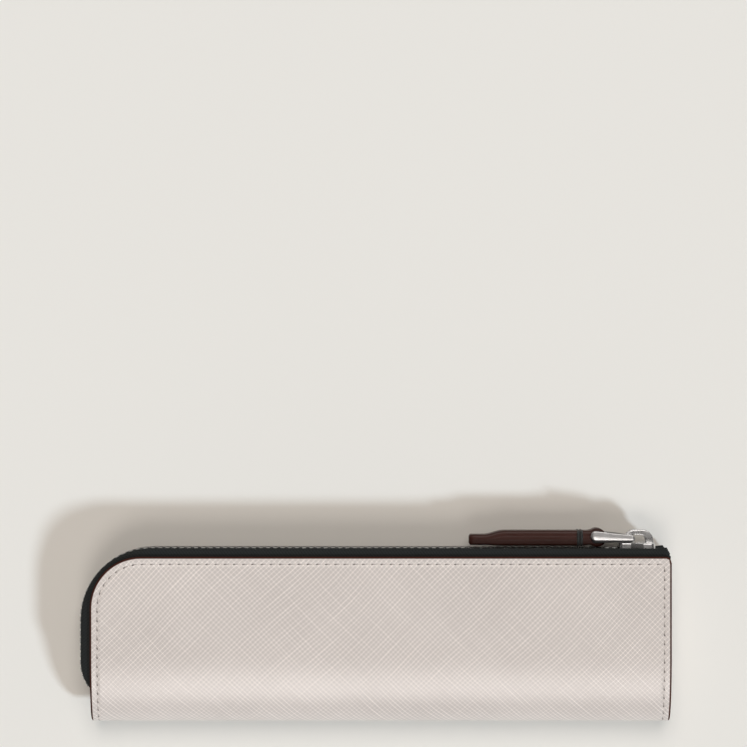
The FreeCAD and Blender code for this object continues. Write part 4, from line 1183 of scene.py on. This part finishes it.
class StageOperator(bpy.types.Operator):
    """Makes the floor, the light and the camera over the sleeve"""

    bl_idname = "sleeve.stage"
    bl_label = "Stage"

    def execute(self, context):
        stage = context.scene.sleeve_stage
        self.floor(stage)
        self.lights(context, stage)
        self.camera(context, stage)
        context.scene.view_settings.view_transform = "Standard"
        return {"FINISHED"}

    def floor(self, stage):
        """A square plane just under the sleeve."""
        reach = np.array([-stage.floor_size, stage.floor_size])
        x, y = np.meshgrid(reach, reach)
        corners = joined(x, y, BACK_Z - stage.floor_gap).reshape(-1, 3)
        mesh = bpy.data.meshes.new("floor")
        mesh.from_pydata(corners.tolist(), [], [(0, 1, 3, 2)])
        mesh.materials.append(pale_floor(stage))
        new_object("floor", mesh)

    def lights(self, context, stage):
        """A small key light that leaves no glare, a soft light for the fold's sheen, a broad fill light, and
        a bright horizon."""
        rows = (
            ("key", stage.key_light, stage.key_share, stage.key_spread, stage.key_turn, stage.key_height),
            ("soft", stage.fill_light, stage.soft_share, stage.soft_spread, -QUARTER, stage.soft_height),
            ("fill", stage.fill_light, stage.fill_share, stage.fill_spread, QUARTER, stage.fill_height),
        )
        for name, tone, share, spread, turn, height in rows:
            light = bpy.data.lights.new(name + "_light", "SUN")
            light.angle = spread
            light.energy = share * np.pi / np.sin(height)
            light.color = tone
            lamp = new_object(name + "_light", light)
            lamp.visible_glossy = name != "key"
            level = np.cos(height)
            lamp.location = (level * np.cos(turn), level * np.sin(turn), np.sin(height))
            lamp.rotation_euler = lamp.location.to_track_quat("Z", "Y").to_euler()
        world = bpy.data.worlds.new("studio")
        context.scene.world = world
        world.use_nodes = True
        tree = world.node_tree
        direction = node(tree, "ShaderNodeTexCoord").outputs["Generated"]
        upward = node(tree, "ShaderNodeSeparateXYZ", {0: direction}).outputs["Z"]
        strength = step_up(tree, upward, stage.horizon_start, stage.horizon_end, stage.horizon, stage.zenith)
        set_inputs(tree, tree.nodes["Background"], Color=rgba(stage.fill_light), Strength=strength)

    def camera(self, context, stage):
        """Looking straight down, with a lens that takes in the picture's width at the front panel."""
        lens = bpy.data.cameras.new("photo_camera")
        lens.sensor_width = stage.sensor
        lens.lens = stage.sensor * stage.camera_height / stage.view_width
        camera = new_object("photo_camera", lens)
        camera.location = (stage.camera_x, stage.camera_y, FRONT_Z + stage.camera_height)
        context.scene.camera = camera


class LeatherOperator(bpy.types.Operator):
    """Makes the folded leather body with its painted edges"""

    bl_idname = "sleeve.leather"
    bl_label = "Leather body"

    def execute(self, context):
        leather = context.scene.sleeve_leather
        cut = Cut(LEFT_X, RIGHT_X, half_run(0.0, leather), leather.zip_corner, leather.seam_corner)
        parts = folded_sheet(leather_profile(leather), cut, 0.0, leather)
        add_piece("leather_body", parts, ivory_leather(leather), "sleeve", ["outer_shell"],
                  sharp_degrees=60.0)
        return {"FINISHED"}


class LayersOperator(bpy.types.Operator):
    """Makes the lining, the interlining and the end gusset"""

    bl_idname = "sleeve.layers"
    bl_label = "Inner layers"

    def execute(self, context):
        leather = context.scene.sleeve_leather
        right = GUSSET_LOW.x - leather.thickness / 2
        # The lining's ribs get a painted highlight, twice as light as the cloth.
        cloth = woven_cloth("lining_cloth", leather.lining_cloth, rgba(leather.lining_cloth, factor=2.0),
                            pitch=0.0005, depth=0.00003, slants=(0.0, 90.0), roughness=0.8)
        felt = woven_cloth("interlining_felt", leather.felt, leather.felt,
                           pitch=0.0012, depth=0.00004, slants=(20.0, 75.0), roughness=0.95)
        rows = (
            ("lining_cloth", "lining", leather.lining_depth, leather.lining_thickness, LINING_INSET, cloth),
            ("interlining", "padding", leather.layer_start, leather.layer_thickness, FELT_INSET, felt),
        )
        for name, node_name, depth, thickness, thicknesses_in, material in rows:
            inset = thicknesses_in * leather.thickness
            run = half_run(depth, leather) - inset
            radius = leather.zip_corner - inset
            cut = Cut(LEFT_X + inset, right, run, radius, leather.seam_corner)
            parts = folded_sheet(cloth_profile(thickness, leather.rim_width), cut, depth, leather)
            piece = add_piece(name, parts, material, "sleeve", [node_name])
        finish = smooth_leather("gusset_leather", rgba(leather.ivory_shade, factor=1.3), roughness=0.5,
                                gloss=0.5, grain_scale=1500.0, grain_depth=0.00004)
        gusset = add_piece("end_wall", [gusset_part(leather)], finish, "sleeve", ["end_gusset"])
        wall = gusset.modifiers.new("wall", "SOLIDIFY")
        wall.thickness = leather.layer_thickness
        wall.offset = 0.0
        return {"FINISHED"}


class SeamsOperator(bpy.types.Operator):
    """Sews the three seams, stitch by stitch"""

    bl_idname = "sleeve.seams"
    bl_label = "Seams"

    def execute(self, context):
        leather = context.scene.sleeve_leather
        # The thread's colour holds painted shade of the seam's groove.
        thread = spun_thread("ivory_thread", leather.seam_thread, roughness=0.6)
        hole = needle_hole(leather)
        for name, line in seam_lines(leather).items():
            stitches, holes = seam_parts(line, leather)
            add_piece(name + "_stitches", [stitches], thread, "sleeve", [name])
            add_piece(name + "_holes", holes, hole, "sleeve")
        return {"FINISHED"}


class TapesOperator(bpy.types.Operator):
    """Makes the two woven zip tapes"""

    bl_idname = "sleeve.tapes"
    bl_label = "Zip tapes"

    def execute(self, context):
        leather = context.scene.sleeve_leather
        zipper = context.scene.sleeve_zip
        # The tape's ribs carry a painted highlight on their tops.
        finish = woven_cloth("charcoal_tape", zipper.tape, zipper.tape_rib_highlight, zipper.weave_pitch,
                             zipper.weave_depth, slants=(50.0, -50.0), roughness=0.85)
        for name, side in (("front_tape", 1), ("back_tape", -1)):
            part, length, width = tape_part(side, zipper, leather)
            piece = add_piece(name + "_weave", [part], finish, "sleeve", [name])
        return {"FINISHED"}


class ChainOperator(bpy.types.Operator):
    """Finishes the teeth and stops of the zip's chain"""

    bl_idname = "sleeve.chain"
    bl_label = "Zip chain"

    def execute(self, context):
        zipper = context.scene.sleeve_zip
        finish = satin_metal("plated_teeth", zipper.teeth, roughness=0.16, stretch=(1300.0, 1700.0, 1700.0),
                             dent=0.00007)
        for name in ("front_teeth", "back_teeth", "closing_stops", "opening_stop"):
            finish_node(name, finish)
        return {"FINISHED"}


class SliderOperator(bpy.types.Operator):
    """Finishes the slider and makes its arch"""

    bl_idname = "sleeve.slider"
    bl_label = "Slider"

    def execute(self, context):
        zipper = context.scene.sleeve_zip
        finish = satin_metal("slider_metal", zipper.metal, roughness=0.25, stretch=(700.0, 4200.0, 4200.0),
                             dent=0.0000008)
        finish_node("slider_body", finish)
        add_piece("slider_arch", [arch_part(zipper)], finish, "slider", ["slider_crown"],
                  sharp_degrees=40.0)
        return {"FINISHED"}


class LinkOperator(bpy.types.Operator):
    """Makes the link between the arch and the strap"""

    bl_idname = "sleeve.link"
    bl_label = "Link"

    def execute(self, context):
        pull = context.scene.sleeve_pull
        metal = context.scene.sleeve_zip.metal
        finish = satin_metal("link_metal", metal, roughness=0.32, stretch=(500.0, 4200.0, 4200.0),
                             dent=0.0000008)
        add_piece("link_frame", link_parts(pull), finish, "link", ["pull_link"], sharp_degrees=60.0)
        return {"FINISHED"}


class StrapOperator(bpy.types.Operator):
    """Makes the folded strap, its filler and the thread round its neck"""

    bl_idname = "sleeve.strap"
    bl_label = "Strap"

    def execute(self, context):
        pull = context.scene.sleeve_pull
        finish = smooth_leather("brown_leather", pull.strap, roughness=0.3, gloss=0.22,
                                grain_scale=2600.0, grain_depth=0.00002)
        add_piece("strap_leather", [strap_part(pull)], finish, "pull", ["pull_strap"],
                  sharp_degrees=55.0)
        add_piece("strap_filler", [core_part(pull)], finish, "pull", ["pull_core"])
        thread = spun_thread("charcoal_thread", pull.wrap, roughness=0.55)
        add_piece("neck_thread", [wrap_part(pull)], thread, "pull", ["pull_thread"])
        return {"FINISHED"}


OPERATORS = (
    StageOperator, LeatherOperator, LayersOperator, SeamsOperator, TapesOperator, ChainOperator,
    SliderOperator, LinkOperator, StrapOperator,
)


class SleevePanel(bpy.types.Panel):
    """Lists the steps that build the sleeve"""

    bl_idname = "VIEW3D_PT_sleeve"
    bl_label = "Pen sleeve"
    bl_space_type = "VIEW_3D"
    bl_region_type = "UI"
    bl_category = "Sleeve"

    def draw(self, context):
        for operator in OPERATORS:
            self.layout.operator(operator.bl_idname)


SETTINGS = {
    "sleeve_leather": LeatherSettings,
    "sleeve_zip": ZipSettings,
    "sleeve_pull": PullSettings,
    "sleeve_stage": StageSettings,
}


def register():
    """Registers the settings, the operators and the panel."""
    for name, group in SETTINGS.items():
        bpy.utils.register_class(group)
        setattr(bpy.types.Scene, name, PointerProperty(type=group))
    for cls in (*OPERATORS, SleevePanel):
        bpy.utils.register_class(cls)


def unregister():
    """Takes everything back that register added."""
    for cls in (SleevePanel, *reversed(OPERATORS)):
        bpy.utils.unregister_class(cls)
    for name, group in reversed(SETTINGS.items()):
        delattr(bpy.types.Scene, name)
        bpy.utils.unregister_class(group)


def main():
    register()
    for operator in OPERATORS:
        getattr(bpy.ops.sleeve, operator.bl_idname.split(".")[1])()


if __name__ == "__main__":
    main()
